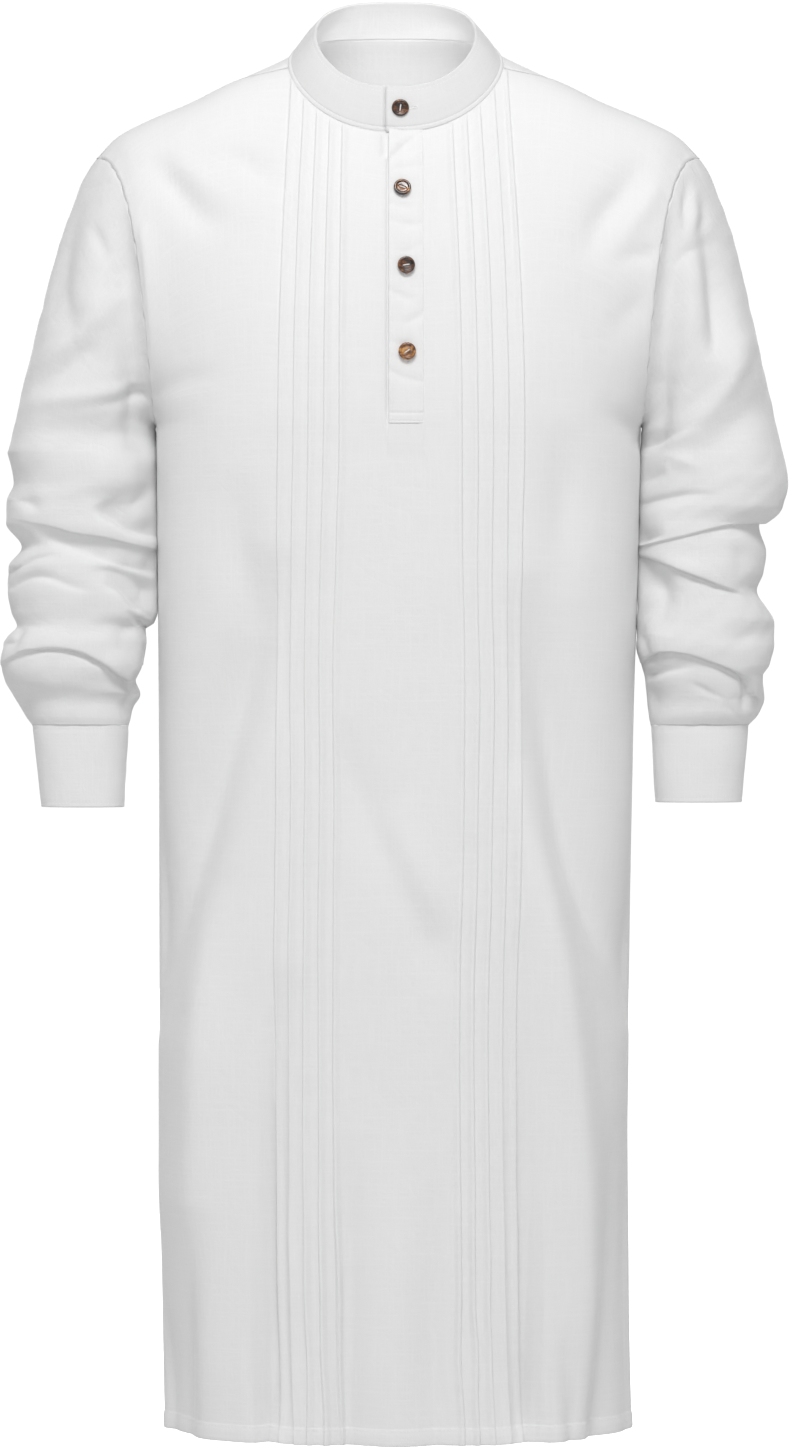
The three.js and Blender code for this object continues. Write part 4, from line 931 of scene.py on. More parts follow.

# %% [markdown]
# ## The sleeves
#
# A sleeve is a tube. Its first part, the cap, swings from the armhole's slanted loop down to a level ring.
# Below it, the sleeve hangs, and a table gives its outer and inner edge at each height: cloth pushed up the
# forearm stacks into rolls, so the outline goes in and out. The creases between the rolls are drawn one by
# one, leaning so that they are steep beneath each roll.

# %% Tables of the sleeves
SLEEVE_POWER, SLEEVE_START, SLEEVE_END = 2.15, -322.0, -548.0
RING_KEYS = "z outer inner front back"
SLEEVES = {
    "left": table(
        RING_KEYS,
        [
            [-548, 290.2, 208.5, -52, 19],
            [-536, 299.5, 207, -60, 26],
            [-524, 303, 205.5, -64, 31],
            [-506, 300, 203.5, -63, 34],
            [-497, 306.5, 201.6, -64, 36],
            [-480, 311, 199, -67, 39],
            [-463, 311, 199.2, -66, 43],
            [-436, 297, 200, -64, 44],
            [-421, 302.5, 200.5, -66, 47],
            [-404, 305, 200.8, -64, 50],
            [-382, 299, 201.2, -62, 53],
            [-366, 317, 201.8, -66, 55],
            [-343, 323, 203, -67, 57],
            [-322, 319, 204, -66, 58],
        ],
    ),
    "right": table(
        RING_KEYS,
        [
            [-548, 302.7, 222.2, -54, 18],
            [-533, 312, 219, -60, 27],
            [-522, 319, 213.5, -63, 33],
            [-511, 325, 217, -65, 36],
            [-497, 328, 211.5, -67, 39],
            [-480, 326, 211, -66, 41],
            [-466, 314, 214.5, -63, 42],
            [-454, 319, 203.5, -65, 44],
            [-437, 323, 201.3, -67, 46],
            [-417, 322.5, 201.3, -66, 49],
            [-400, 312, 201.5, -62, 51],
            [-380, 324.5, 201.5, -65, 54],
            [-362, 324, 201.8, -66, 56],
            [-347, 318, 202.2, -66, 57],
            [-322, 324, 203, -66, 58],
        ],
    ),
}
# The folds of the sleeves, as for the body, and the lips where a roll hangs over the cloth below it.
SLEEVE_FOLDS = {
    ("left", "front"): [
        ([(199, -321, 8), (209, -316, 6), (218, -312, 4), (231, -307, 2), (251, -299, 0)], 9, 3),
        ([(219, -319, 0), (239, -306, -2.5), (264, -280, -4), (284, -242, -3.5), (292, -214, 0)], 10, 10),
        ([(239, -330, 0), (270, -309, 5), (300, -285, 4)], 17, 17),
        ([(200, -366, 2), (216, -362, 3), (237, -359, 2.5), (263, -359, 0)], 3, 7),
        ([(199, -348, 4), (210, -343, 4), (221, -339, 0)], 9, 7),
        ([(215, -325, 0), (233, -331, -2), (252, -340, 0)], 5, 6),
        ([(195, -398, 7), (206, -394, 7), (221, -391, 0)], 10, 2),
        ([(195, -407, 2), (211, -412, 1.5), (227, -420, 1.5), (247, -428, 1.5), (268, -436, 1),
          (284, -442, 0)], 1.5, 5),
        ([(198, -412, 4), (210, -429, 10), (215, -445, 9), (210, -473, 0)], 13, 11),
        ([(195, -463, 3), (201, -478, 6), (207, -492, 3)], 7, 6),
        ([(265, -479, 0), (284, -475, 4), (306, -470, 3)], 12, 12),
        ([(275, -396, 0), (282, -411, 3), (281, -429, 0)], 9, 9),
        ([(199, -497, 3), (209, -490, 2), (222, -488, 1), (237, -490, 1), (257, -497, 1),
          (275, -504, 2), (288, -512, 3), (293, -520, 2)], 1.5, 4),
        ([(199, -509, 7), (211, -505, 4), (227, -502, 2), (246, -499, 0)], 5, 3),
        ([(236, -511, 0), (252, -518, 2), (269, -527, 0)], 2, 4),
        ([(269, -532, 0), (278, -542, 2.5), (287, -550, 1)], 3, 3),
        ([(286, -514, 3), (290, -524, 5), (287, -537, 2)], 4, 4),
        ([(252, -129, 0), (257, -158, 7), (262, -191, 11), (262, -224, 10), (257, -250, 0)], 11, 9),
        ([(242, -165, 0), (239, -216, -3), (236, -261, 0)], 11, 11),
        ([(280, -199, -1), (278, -240, -2.5), (270, -275, 0)], 10, 10),
        ([(238, -98, 1), (237, -122, 4), (237, -147, 0)], 4, 4),
        ([(250, -108, 0), (253, -130, 3), (247, -149, 0)], 4, 4),
        ([(224, -172, 0), (239, -159, 3), (253, -152, 1)], 4, 4),
        ([(244, -111, -1), (243, -129, -2), (242, -147, 0)], 4, 4),
    ],
    ("left", "back"): [
        ([(202, -352, 5), (240, -362, 6), (290, -352, 3), (322, -340, 1)], 10, 5),
        ([(202, -410, 5), (236, -398, 7), (280, -404, 6), (306, -418, 2)], 9, 4),
        ([(204, -452, 4), (240, -464, 6), (280, -460, 5), (312, -446, 2)], 9, 4),
        ([(214, -500, 5), (244, -490, 6), (284, -496, 5), (312, -506, 3)], 3, 8),
        ([(232, -180, 0), (244, -230, 4), (250, -290, 0)], 12, 12),
        ([(206, -300, 4), (232, -312, 3), (262, -306, 0)], 8, 5),
        ([(250, -320, 0), (270, -336, -3), (300, -330, 0)], 12, 12),
    ],
    ("right", "front"): [
        ([(-247, -367, 0), (-241, -374, 5), (-228, -382, 10), (-216, -388, 10), (-201, -391, 7)], 13, 3),
        ([(-254, -365, 0), (-232, -367, 4), (-211, -363, 6), (-201, -348, 4)], 11, 10),
        ([(-301, -384, 0), (-283, -395, 3), (-262, -403, 5), (-239, -410, 6), (-219, -416, 6),
          (-200, -421, 5)], 13, 4),
        ([(-252, -423, 0), (-236, -421, 5), (-215, -426, 8), (-203, -437, 8)], 5, 13),
        ([(-241, -431, 0), (-226, -437, 6), (-216, -448, 8), (-205, -458, 5)], 14, 3),
        ([(-319, -434, 2), (-310, -429, 4), (-297, -426, 4), (-283, -428, 3), (-267, -434, 2),
          (-249, -438, 0)], 5, 3),
        ([(-318, -419, 2), (-308, -414, 4), (-298, -410, 3), (-287, -408, 2), (-275, -407, 0)], 3, 6),
        ([(-224, -453, 0), (-214, -461, 5), (-202, -463, 6)], 6, 3),
        ([(-314, -492, 1), (-292, -485, 1.5), (-275, -485, 1.5), (-260, -489, 1.5), (-244, -497, 1.5),
          (-231, -506, 2), (-221, -513, 3), (-214, -522, 2)], 1.5, 4),
        ([(-226, -458, 0), (-227, -478, 3), (-219, -497, 2)], 7, 7),
        ([(-322, -480, 3), (-314, -479, 4), (-308, -472, 2)], 3, 4),
        ([(-314, -362, 2), (-303, -366, 4), (-292, -373, 0)], 9, 4),
        ([(-260, -289, 0), (-236, -284, 1.5), (-215, -280, 3), (-200, -276, 6)], 5, 4),
        ([(-310, -280, -1), (-277, -281, -3), (-236, -276, -3), (-210, -268, 0)], 8, 8),
        ([(-303, -304, 2), (-260, -309, 5), (-207, -307, 6)], 14, 16),
        ([(-305, -255, 0), (-281, -238, -3), (-252, -220, -3.5), (-229, -199, -1)], 9, 9),
        ([(-306, -275, 2), (-285, -262, 5), (-254, -242, 3)], 9, 10),
        ([(-265, -114, 0), (-275, -157, 5), (-277, -191, 6), (-267, -222, 3)], 9, 16),
        ([(-252, -134, 0), (-246, -150, 3), (-238, -173, 0)], 5, 5),
        ([(-244, -185, -1), (-246, -203, -3), (-251, -224, 0)], 13, 13),
        ([(-248, -314, 0), (-236, -339, -2), (-244, -363, 0)], 18, 18),
    ],
    ("right", "back"): [
        ([(-318, -350, 1), (-284, -342, 4), (-240, -350, 6), (-202, -366, 5)], 9, 5),
        ([(-308, -392, 2), (-270, -404, 6), (-232, -400, 7), (-202, -388, 5)], 9, 4),
        ([(-316, -446, 2), (-280, -434, 5), (-240, -444, 6), (-206, -460, 4)], 9, 4),
        ([(-316, -510, 3), (-284, -498, 5), (-246, -494, 6), (-216, -504, 4)], 3, 8),
        ([(-232, -176, 0), (-246, -226, 4), (-252, -286, 0)], 12, 12),
        ([(-264, -300, 0), (-234, -310, 3), (-206, -300, 4)], 8, 5),
        ([(-302, -326, 0), (-270, -334, -3), (-246, -322, 0)], 12, 12),
    ],
}
SLEEVE_LIPS = {
    ("left", "front"): [
        ([(195, -400, 3), (211, -397, 3), (237, -391, 3), (263, -384, 3.5), (288, -379, 4.5),
          (310, -375, 5.5), (319, -370, 4)], 22),
        ([(195, -405, 3), (211, -411, 3.5), (227, -418, 4), (247, -426, 3.5), (268, -434, 2.5),
          (287, -441, 0)], 9),
        ([(199, -496, 3), (209, -488, 4.5), (222, -486, 4.5), (237, -488, 4), (257, -495, 4),
          (275, -502, 4.5), (288, -511, 5.5), (294, -519, 4)], 26),
    ],
    ("left", "back"): [
        ([(204, -372, 3), (240, -384, 4), (284, -378, 4), (314, -364, 3)], 16),
        ([(204, -428, 3), (238, -420, 4), (284, -426, 4), (316, -440, 3)], 18),
        ([(214, -492, 4), (244, -482, 5), (286, -488, 5), (316, -498, 4)], 26),
    ],
    ("right", "front"): [
        ([(-301, -381, 1), (-285, -384, 2.5), (-265, -389, 4.5), (-244, -392, 4.5), (-219, -398, 4),
          (-198, -403, 3)], 14),
        ([(-314, -490, 3), (-307, -486, 4), (-292, -484, 4.5), (-275, -484, 4.5), (-260, -487, 4.5),
          (-244, -495, 5), (-231, -504, 5.5), (-221, -511, 5.5), (-214, -520, 4)], 30),
        ([(-316, -417, 2), (-308, -412, 2.5), (-298, -408, 2), (-287, -407, 1), (-277, -406, 0)], 8),
    ],
    ("right", "back"): [
        ([(-314, -368, 3), (-280, -380, 4), (-238, -376, 4), (-204, -362, 3)], 16),
        ([(-320, -434, 3), (-284, -422, 4), (-238, -428, 4), (-206, -442, 3)], 18),
        ([(-322, -502, 4), (-286, -490, 5), (-246, -486, 5), (-216, -496, 4)], 26),
    ],
}
CUFFS = {
    "left": table(RING_KEYS, [[-611, 285, 212, -48, 15], [-547.2, 290.5, 208.3, -51, 18]]),
    "right": table(RING_KEYS, [[-615, 295.5, 225.5, -50, 14], [-547.2, 303, 222, -53, 17]]),
}
CUFF_SEAMS = (2.4, 2.6)
SLEEVE_AXIS = np.array([0.72, 0, -0.69])
AROUND = 128
CAP_ALONG = np.linspace(0, 1, 58)
HANG_ALONG = np.linspace(0, 1, 204)


# %% Sleeves
def level_ring(side, rows, z, angle):
    """A squared-off oval at height z: angle 0 is the outer side and a quarter turn is the front."""
    outer, inner, front, back = (along(rows, "z", key, z) for key in ("outer", "inner", "front", "back"))
    x = (outer + inner) / 2 + (outer - inner) / 2 * signed_power(np.cos(angle), 2 / SLEEVE_POWER)
    y = (front + back) / 2 - (back - front) / 2 * signed_power(np.sin(angle), 2 / SLEEVE_POWER)
    return np.stack([side * x, y, np.broadcast_to(z, x.shape)], axis=-1)


def armhole_loop(side, turn):
    """The armhole's seam from the shoulder round by the front, moved a hair off the panels."""
    axis = SLEEVE_AXIS * [side, 1, 1]
    edges = {}
    for face in ("front", "back"):
        t = np.clip(np.where(turn <= 0.5, 1 - 2 * turn, 2 * turn - 1), 0, 1)
        order = np.argsort(t)
        edge = side_columns(side, np.array([1.0]), face)
        sheet, _ = panel_surface([edge], np.array([HEM_Z, ARMPIT_Z]), np.append(0, t[order]), face)
        line = np.empty((len(turn), 3))
        line[order] = sheet[2:, 0]
        edges[face] = line
    ends = (turn == 0) | (turn == 0.5)
    loop = np.where((turn <= 0.5)[:, None], edges["front"], edges["back"])
    loop[ends, 1] = (edges["front"][ends, 1] + edges["back"][ends, 1]) / 2
    return loop - axis * 0.3


def sleeve_surface(side, rows):
    """The cap from Bezier curves between the armhole and the first level ring, then level rings down to
    the cuff."""
    turn = np.arange(AROUND) / AROUND
    angle = turn * 2 * np.pi
    start, end = armhole_loop(side, turn), level_ring(side, rows, SLEEVE_START, angle)
    far = np.linalg.norm(end - start, axis=1, keepdims=True)
    outside = (1 + np.cos(angle)) / 2
    zero = np.zeros(AROUND)
    leave = np.stack([mix(0.85, 0.6, outside) * side, zero, mix(-0.5, -0.8, outside)], axis=-1)
    arrive = np.stack([0.25 * outside * side, zero, zero - 1], axis=-1)
    handles = [p[None] for p in (start, start + leave * far * 0.2, end - arrive * far * 0.38, end)]
    cap = bezier(handles, CAP_ALONG[:, None, None])
    z = mix(SLEEVE_START, SLEEVE_END, HANG_ALONG[1:])[:, None]
    hanging = level_ring(side, rows, z, np.broadcast_to(angle, (len(z), AROUND)))
    return np.concatenate([cap, hanging]), turn


def sleeve_relief(grid, turn, key, seed):
    """Depth of the sleeve's folds, and how far the lips slide. The folds of the front and of the back
    each fade out at the sleeve's two edges. Next to the armhole's seam the sleeve dips, because the body
    stands over it."""
    x, z = grid[..., 0], grid[..., 2]
    rows = np.concatenate([CAP_ALONG, 1 + HANG_ALONG[1:]])[:, None]
    facing = smooth(np.abs(np.sin(turn * 2 * np.pi)) * 2.6)[None]
    ends = smooth(rows * 9) * smooth((2 - rows) * 14)
    depth, slide = np.zeros(z.shape), np.zeros(z.shape + (2,))
    for face, there in (("front", turn < 0.5), ("back", turn >= 0.5)):
        weight = there[None] * facing * ends
        swell, moved = overlaps(SLEEVE_LIPS[key, face], x, z)
        depth += (fold_depth(SLEEVE_FOLDS[key, face], x, z) - swell) * weight
        slide += moved * weight[..., None]
    around = turn[None] * 330
    life = 0.5 * drift(around, z * 1.2, 60, seed) + 0.22 * drift(around, z * 1.5, 24, seed + 1)
    gather = 0.2 * np.exp(-(((rows - 2) / 0.07) ** 2)) * ripples(turn[None], 15, seed + 2)
    pucker = 0.5 * np.exp(-((rows / 0.1) ** 2)) * ripples(turn[None] * np.ones_like(rows), 30, seed + 3)
    steps = np.linalg.norm(np.diff(grid, axis=0), axis=-1)
    from_seam = np.concatenate([np.zeros((1, len(turn))), np.cumsum(steps, axis=0)])
    beside = 0.5 - np.abs(turn - 0.5)
    low = (smooth((beside - 0.1) / 0.14) * smooth((0.475 - beside) / 0.11))[None]
    dip = (0.1 + 12 * low * (from_seam / 21) * np.exp(1 - from_seam / 21)) * smooth(1 - from_seam / 95)
    inner = np.abs(x[:, len(turn) // 2])
    side_of_body = along(BODY, "z", key, z[:, len(turn) // 2])
    hug = np.clip(inner - side_of_body + 0.4, -1, 8)[:, None] * np.exp(-(((turn - 0.5) / 0.1) ** 2))[None]
    hug = hug * smooth((-296 - z) / 10) * smooth((z + 500) / 50)
    flat = 6.0 * np.exp(-(((z + 528) / 13) ** 2)) * (turn < 0.5)[None] * facing
    tuck_in = flat + 0.6 * smooth((rows - 1.97) / 0.03)
    fine = (life - pucker) * smooth(rows * 30) * smooth((2 - rows) * 9)
    return depth + fine - gather + dip - hug + tuck_in, slide


def build_sleeve(side, key, seed):
    """A sleeve: its smooth tube, sunk by the folds, with the lips of its rolls slid over."""
    grid, turn = sleeve_surface(side, SLEEVES[key])
    outward = grid - grid.mean(axis=1, keepdims=True)
    normals = grid_normals(grid, outward, wraps=True)
    depth, slide = sleeve_relief(grid, turn, key, seed)
    sunk = grid - normals * depth[..., None]
    sunk[..., 0] += slide[..., 0]
    sunk[..., 2] += slide[..., 1]
    piece = cloth_mesh("sleeve_cloth_" + key, sunk, normals, wraps=True)
    return thicken(piece, CLOTH), sunk


sleeve_left, sleeve_left_grid = build_sleeve(1, "left", 61)
sleeve_right, sleeve_right_grid = build_sleeve(-1, "right", 71)
print("sleeves:", len(sleeve_left.data.polygons), "faces each before the wall's thickness")


# %% [markdown]
# ## The cuffs
#
# Each cuff is a doubled band like the collar, closed all round, and a little narrower at the wrist. The
# same closed cross-section is carried round a level ring.


# %% Cuffs
def build_cuff(side, key, seed):
    """A cuff, as a doubled band round level ovals, and the grid of its outer face."""
    rows = CUFFS[key]
    angle = np.arange(150) / 150 * 2 * np.pi
    height = np.concatenate([[0, 0.012, 0.03], np.linspace(0.055, 0.93, 18), [0.96, 0.985]])
    bottom, top = rows["z"][0] + 0.9, rows["z"][-1]
    angle_grid, height_grid = np.meshgrid(angle, height)
    outer = level_ring(side, rows, mix(bottom, top, height_grid), angle_grid)
    outward = np.stack([side * np.cos(angle_grid), -np.sin(angle_grid), np.zeros(angle_grid.shape)], axis=-1)
    normals = grid_normals(outer, outward, wraps=True)
    waves = 0.5 * drift(angle_grid * 42, height_grid * 40, 48, seed)
    waves += 0.15 * drift(angle_grid * 42, height_grid * 60, 16, seed + 1)
    ring_sum = 0.5 + 0.5 * np.cos(angle_grid)
    outer = outer - normals * (0.7 + waves * np.sin(np.pi * height_grid) * mix(1, 0.7, ring_sum))[..., None]
    tall = top - bottom
    groove = line_groove(height_grid * tall, (CUFF_SEAMS[0], tall - CUFF_SEAMS[1]), 0.25, 0.7)
    rise = np.broadcast_to(np.array([0, 0, 1.0]), outer[-1].shape)
    return closed_band("cuff_cloth_" + key, band_loop(outer, normals, rise, BAND, groove), True), outer


cuff_left, cuff_left_grid = build_cuff(1, "left", 81)
cuff_right, cuff_right_grid = build_cuff(-1, "right", 85)
print("cuffs:", len(cuff_left.data.polygons), "faces each")

# %% [markdown]
# ## The buttons
#
# The four buttons are polished horn of the fish-eye kind: a raised rim, a dished face, and a lens-shaped
# hollow across the middle with two holes, through which thread holds the button. The face is a height over
# a disc, worked out from the distance to the rim and to the lens. The disc's grid comes from a square one,
# squeezed so that its sides become the circle, which leaves no crowded pole in the middle.

# %% Buttons
BUTTON_RADIUS, BUTTON_ROWS = 7.1, 58
HOLE_PLACES = ((-1.5, 0.0), (1.5, 0.0))


def square_to_disc(u, v):
    """The elliptical map x = u sqrt(1 - v^2 / 2), y = v sqrt(1 - u^2 / 2) from a square to a disc."""
    return u * np.sqrt(1 - v * v / 2), v * np.sqrt(1 - u * u / 2)


def button_height(x, y):
    """Height of the button's face: a rounded rim, a shallow dish, the lens-shaped eye, and two deep
    holes."""
    r = np.hypot(x, y)
    rim = 2.75 - 1.15 * (1 - np.sqrt(np.clip(1 - np.clip((r - 5.9) / 1.2, 0, 1) ** 2, 0, 1)))
    dish = 0.75 * smooth((5.7 - r) / 1.5) + 0.25 * smooth((4 - r) / 4)
    lens = np.hypot(x / 3.7, y / 1.25)
    eye = 0.55 * smooth((1.12 - lens) / 0.35)
    holes = sum(1.6 * smooth((0.62 - np.hypot(x - a, y - b)) / 0.22) for a, b in HOLE_PLACES)
    return rim - dish - eye - holes


def button_frame(node, roll):
    """Middle of the button's back, and its three directions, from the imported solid: the third points
    outwards."""
    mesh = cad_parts[node].data
    points = np.empty(len(mesh.vertices) * 3)
    mesh.vertices.foreach_get("co", points)
    points = np.unique(points.reshape(-1, 3).round(6), axis=0) / MM
    low, high = points.min(axis=0), points.max(axis=0)
    _, _, axes = np.linalg.svd(points - points.mean(axis=0), full_matrices=False)
    out = axes[2] * (1 if axes[2][1] < 0 else -1)
    reach = (points - points.mean(axis=0)) @ out
    foot = points[reach < reach.min() + 0.05].mean(axis=0)
    side = unit(np.cross(np.array([0, 0, 1.0]), -out))
    up = np.cross(out, side)
    return foot, side * np.cos(roll) + up * np.sin(roll), up * np.cos(roll) - side * np.sin(roll), out


def lay(points, seat):
    """Points of a button's own frame, laid on its seat."""
    foot, side, up, out = seat
    return foot + points[..., :1] * side + points[..., 1:2] * up + points[..., 2:] * out


def build_button(number, roll):
    """A button: its face and back are heights over the same disc, joined round the rim by a belt of
    quads."""
    seat = button_frame(f"button_{number}", roll)
    count = BUTTON_ROWS
    u, v = np.meshgrid(np.linspace(-1, 1, count), np.linspace(-1, 1, count), indexing="ij")
    x, y = square_to_disc(u, v)
    x, y = x * BUTTON_RADIUS, y * BUTTON_RADIUS
    front = np.stack([x, y, button_height(x, y)], axis=-1)
    r = np.hypot(x, y)
    back = np.stack([x, y, 0.15 + 0.9 * np.clip((r - 5.6) / 1.5, 0, 1) ** 2], axis=-1)
    points = np.concatenate([front.reshape(-1, 3), back.reshape(-1, 3)])
    faces, _, _ = grid_faces(count, count)
    at = np.arange(count * count).reshape(count, count)
    border = np.concatenate([at[0, :-1], at[:-1, -1], at[-1, :0:-1], at[:0:-1, 0]])
    after = np.roll(border, -1)
    rim = np.stack([border, border + count * count, after + count * count, after], axis=1)
    quads = np.concatenate([faces, faces[:, ::-1] + count * count, rim])
    return finish_mesh(f"horn_button_{number}", lay(points, seat), quads), seat


BUTTON_ROLL = {1: 1.45, 2: -0.35, 3: 0.15, 4: 0.6}
buttons = {n: build_button(n, roll) for n, roll in BUTTON_ROLL.items()}
print("buttons:", {n: tuple(np.round(seat[0], 1)) for n, (_, seat) in buttons.items()})


# %% [markdown]
# ## Thread
#
# Sewing shows as small raised grains of thread with a gap between. One stitch is a low spindle of a few
# dozen faces. `stitch_line` places copies along a path at even distances, each turned along the path and
# sunk half into the cloth, and makes one mesh of them all, which is far lighter than an object for each
# stitch. A bump map could draw the stitches too, but real ones cast their own small shadows.


# %% Stitches
def spindle(length, thick, rings, sides):
    """Points and faces of a stitch along X: circles whose radius follows a flattened sine from end to
    end."""
    t = np.linspace(0.02, 0.98, rings + 1)
    radius = thick / 2 * np.sin(np.pi * t) ** 0.45
    angle = np.arange(sides) / sides * 2 * np.pi
    x = np.repeat((t - 0.5) * length, sides)
    y = np.outer(radius, np.cos(angle)).ravel()
    z = np.outer(radius, np.sin(angle)).ravel()
    body = np.stack([x, y, z], axis=-1)
    points = np.concatenate([body, [[-length / 2, 0, 0], [length / 2, 0, 0]]])
    i, j = np.meshgrid(np.arange(rings), np.arange(sides), indexing="ij")
    following = (j + 1) % sides
    here, there = i * sides, (i + 1) * sides
    quads = np.stack([here + j, here + following, there + following, there + j], axis=-1)
    ring_numbers = np.arange(sides)
    after = (ring_numbers + 1) % sides
    first, last = len(body), len(body) + 1
    low = np.stack([np.full(sides, first), after, ring_numbers], axis=-1)
    high = np.stack([np.full(sides, last), rings * sides + ring_numbers, rings * sides + after], axis=-1)
    return points, quads.reshape(-1, 4)[:, ::-1], np.concatenate([low, high])[:, ::-1]


def lengths_along(path):
    """How far along a path each of its points lies."""
    return np.append(0, np.cumsum(np.linalg.norm(np.diff(path, axis=0), axis=1)))


def read_off(values, lengths, at):
    """Points or directions between those of a path, at these distances along it."""
    return np.stack([np.interp(at, lengths, values[:, k]) for k in range(3)], axis=-1)


def stitch_line(paths, length=2.3, gap=0.9, thick=0.42, sink=0.05, rings=4, sides=6, across=False):
    """All stitches along several paths, as points, quads and triangles. A path is points and outward
    normals. Satin stitches lie across the path, side by side. Each stitch is p = place + x forward + y
    sideways + z up."""
    shape, quads, triangles = spindle(length, thick, rings, sides)
    places, forward, upward = [], [], []
    for path, normals in paths:
        lengths = lengths_along(path)
        count = max(2, int(round(lengths[-1] / (thick * 0.85 if across else length + gap))))
        at = (np.arange(count) + 0.5) / count * lengths[-1]
        facing = unit(read_off(normals, lengths, at))
        ahead = read_off(path, lengths, at + 0.6) - read_off(path, lengths, at - 0.6)
        ahead = unit(ahead - facing * np.sum(ahead * facing, axis=1, keepdims=True))
        places.append(read_off(path, lengths, at) - facing * sink)
        forward.append(np.cross(facing, ahead) if across else ahead)
        upward.append(facing)
    places, forward, upward = (np.concatenate(a) for a in (places, forward, upward))
    sideways = np.cross(upward, forward)
    points = (
        places[:, None]
        + shape[None, :, :1] * forward[:, None]
        + shape[None, :, 1:2] * sideways[:, None]
        + shape[None, :, 2:] * upward[:, None]
    )
    shift = (np.arange(len(places)) * len(shape))[:, None, None]
    all_quads = (quads[None] + shift).reshape(-1, 4)
    all_triangles = (triangles[None] + shift).reshape(-1, 3)
    return points.reshape(-1, 3), all_quads, all_triangles


def stitches(name, paths, **sizes):
    """One mesh of all the stitches along several paths."""
    points, quads, triangles = stitch_line(paths, **sizes)
    return finish_mesh(name, points, quads, triangles=triangles)


# %% Seams and topstitching
def nearest_to(values, target):
    """The number of the value nearest to the target."""
    return int(np.argmin(np.abs(values - target)))


def level_line(grid, normals, height):
    """A level line across a panel, as points and normals."""
    row = nearest_to(grid[:, grid.shape[1] // 2, 2], height)
    return grid[row], normals[row]


panels = ((front_grid, front_normals), (back_grid, back_normals))
hem_thread = stitches("hem_stitches", [level_line(*panel, HEM_Z + HEM_SEAM) for panel in panels])

left_line, right_line = (nearest_to(over_x, x) for x in PLACKET_SEAMS_X)
seam_span = slice(left_line, right_line + 1)
foot_lines = [nearest_to(over_grid[:, 15, 2], z) for z in PLACKET_SEAMS_Z]
placket_paths = [(over_grid[:, line], over_normals[:, line]) for line in (left_line, right_line)]
placket_paths += [(over_grid[row, seam_span], over_normals[row, seam_span]) for row in foot_lines]
placket_thread = stitches("placket_stitches", placket_paths)

collar_surface = collar_outer - collar_normals * collar_groove[..., None]
collar_rows = [nearest_to(collar_up * COLLAR_HEIGHT, seam) for seam in COLLAR_SEAMS]
collar_paths = [(collar_surface[row], collar_normals[row]) for row in collar_rows]
collar_thread = stitches("collar_stitches", collar_paths)


def cuff_paths(side, grid):
    """The two rings of stitches on a cuff."""
    angle = np.arange(grid.shape[1] + 1) / grid.shape[1] * 2 * np.pi
    away = np.stack([side * np.cos(angle), -np.sin(angle), 0 * angle], axis=-1)
    height = grid[:, 0, 2]
    rows = [nearest_to(height, height[0] + CUFF_SEAMS[0]), nearest_to(height, height[-1] - CUFF_SEAMS[1])]
    return [(np.concatenate([grid[row], grid[row][:1]]) - away * 0.2, away) for row in rows]


cuff_thread = stitches("cuff_stitches", cuff_paths(1, cuff_left_grid) + cuff_paths(-1, cuff_right_grid))


def tuck_paths():
    """Each tuck is sewn down where its step begins to rise, TUCK_SEAM millimetres from its line."""
    side, offsets = len(SIDE_OUT), len(TUCK_OFFSETS)
    sewn = nearest_to(TUCK_OFFSETS, TUCK_SEAM)
    rows = slice(6, len(front_grid) - 5)
    paths = []
    for n in range(TUCKS):
        right = side + TUCKS * offsets - 1 - (n * offsets + sewn)
        left = front_grid.shape[1] - side - TUCKS * offsets + n * offsets + sewn
        paths += [(front_grid[rows, column], front_normals[rows, column]) for column in (right, left)]
    return paths


tuck_thread = stitches("tuck_stitches", tuck_paths(), gap=1.2, thick=0.3, rings=2, sides=4)
threads = [hem_thread, placket_thread, collar_thread, cuff_thread, tuck_thread]


# %% Buttonholes, and the thread in the buttons
HOLE_HALF = 0.95


def buttonhole(line, normals, start, end):
    """The outline of a slit's satin edge, along a line on the cloth from start to end: two sides, each
    HOLE_HALF millimetres from the slit, and two round ends."""
    lengths = lengths_along(line)
    round_end = np.linspace(-np.pi / 2, np.pi / 2, 9)[1:-1]
    bulge, swing = HOLE_HALF * np.cos(round_end), HOLE_HALF * np.sin(round_end)
    there = np.linspace(start, end, 30)
    run = np.concatenate([there, end + bulge, there[::-1], start - bulge, [start]])
    side = np.full(30, HOLE_HALF)
    off = np.concatenate([-side, swing, side, -swing, [-HOLE_HALF]])
    facing = unit(read_off(normals, lengths, run))
    ahead = read_off(line, lengths, run + 0.5) - read_off(line, lengths, run - 0.5)
    return read_off(line, lengths, run) + unit(np.cross(facing, ahead)) * off[:, None], facing


def hole_at_button(grid, normals, seat, lines, before, after):
    """The buttonhole along whichever of the grid's lines passes nearest to a button, from `before` to
    `after` millimetres past it. `lines` is the grid's axis that counts them."""
    far = np.linalg.norm(grid - seat[0], axis=-1)
    line = int(np.argmin(far.min(axis=1 - lines)))
    points, facing = (np.take(values, line, axis=lines) for values in (grid, normals))
    place = lengths_along(points)[int(np.argmin(np.take(far, line, axis=lines)))]
    return buttonhole(points, facing, place + before, place + after)


flap = (slice(None), slice(-1, -71, -1))
collar_hole = hole_at_button(collar_outer[flap], collar_normals[flap], buttons[1][1], 0, -1.5, 12.3)
placket_holes = [hole_at_button(over_grid, over_normals, buttons[n][1], 1, -7.0, 7.6) for n in (2, 3, 4)]
hole_thread = stitches(
    "buttonhole_stitches",
    [collar_hole, *placket_holes],
    length=1.5,
    sink=-0.05,
    rings=2,
    sides=5,
    across=True,
)


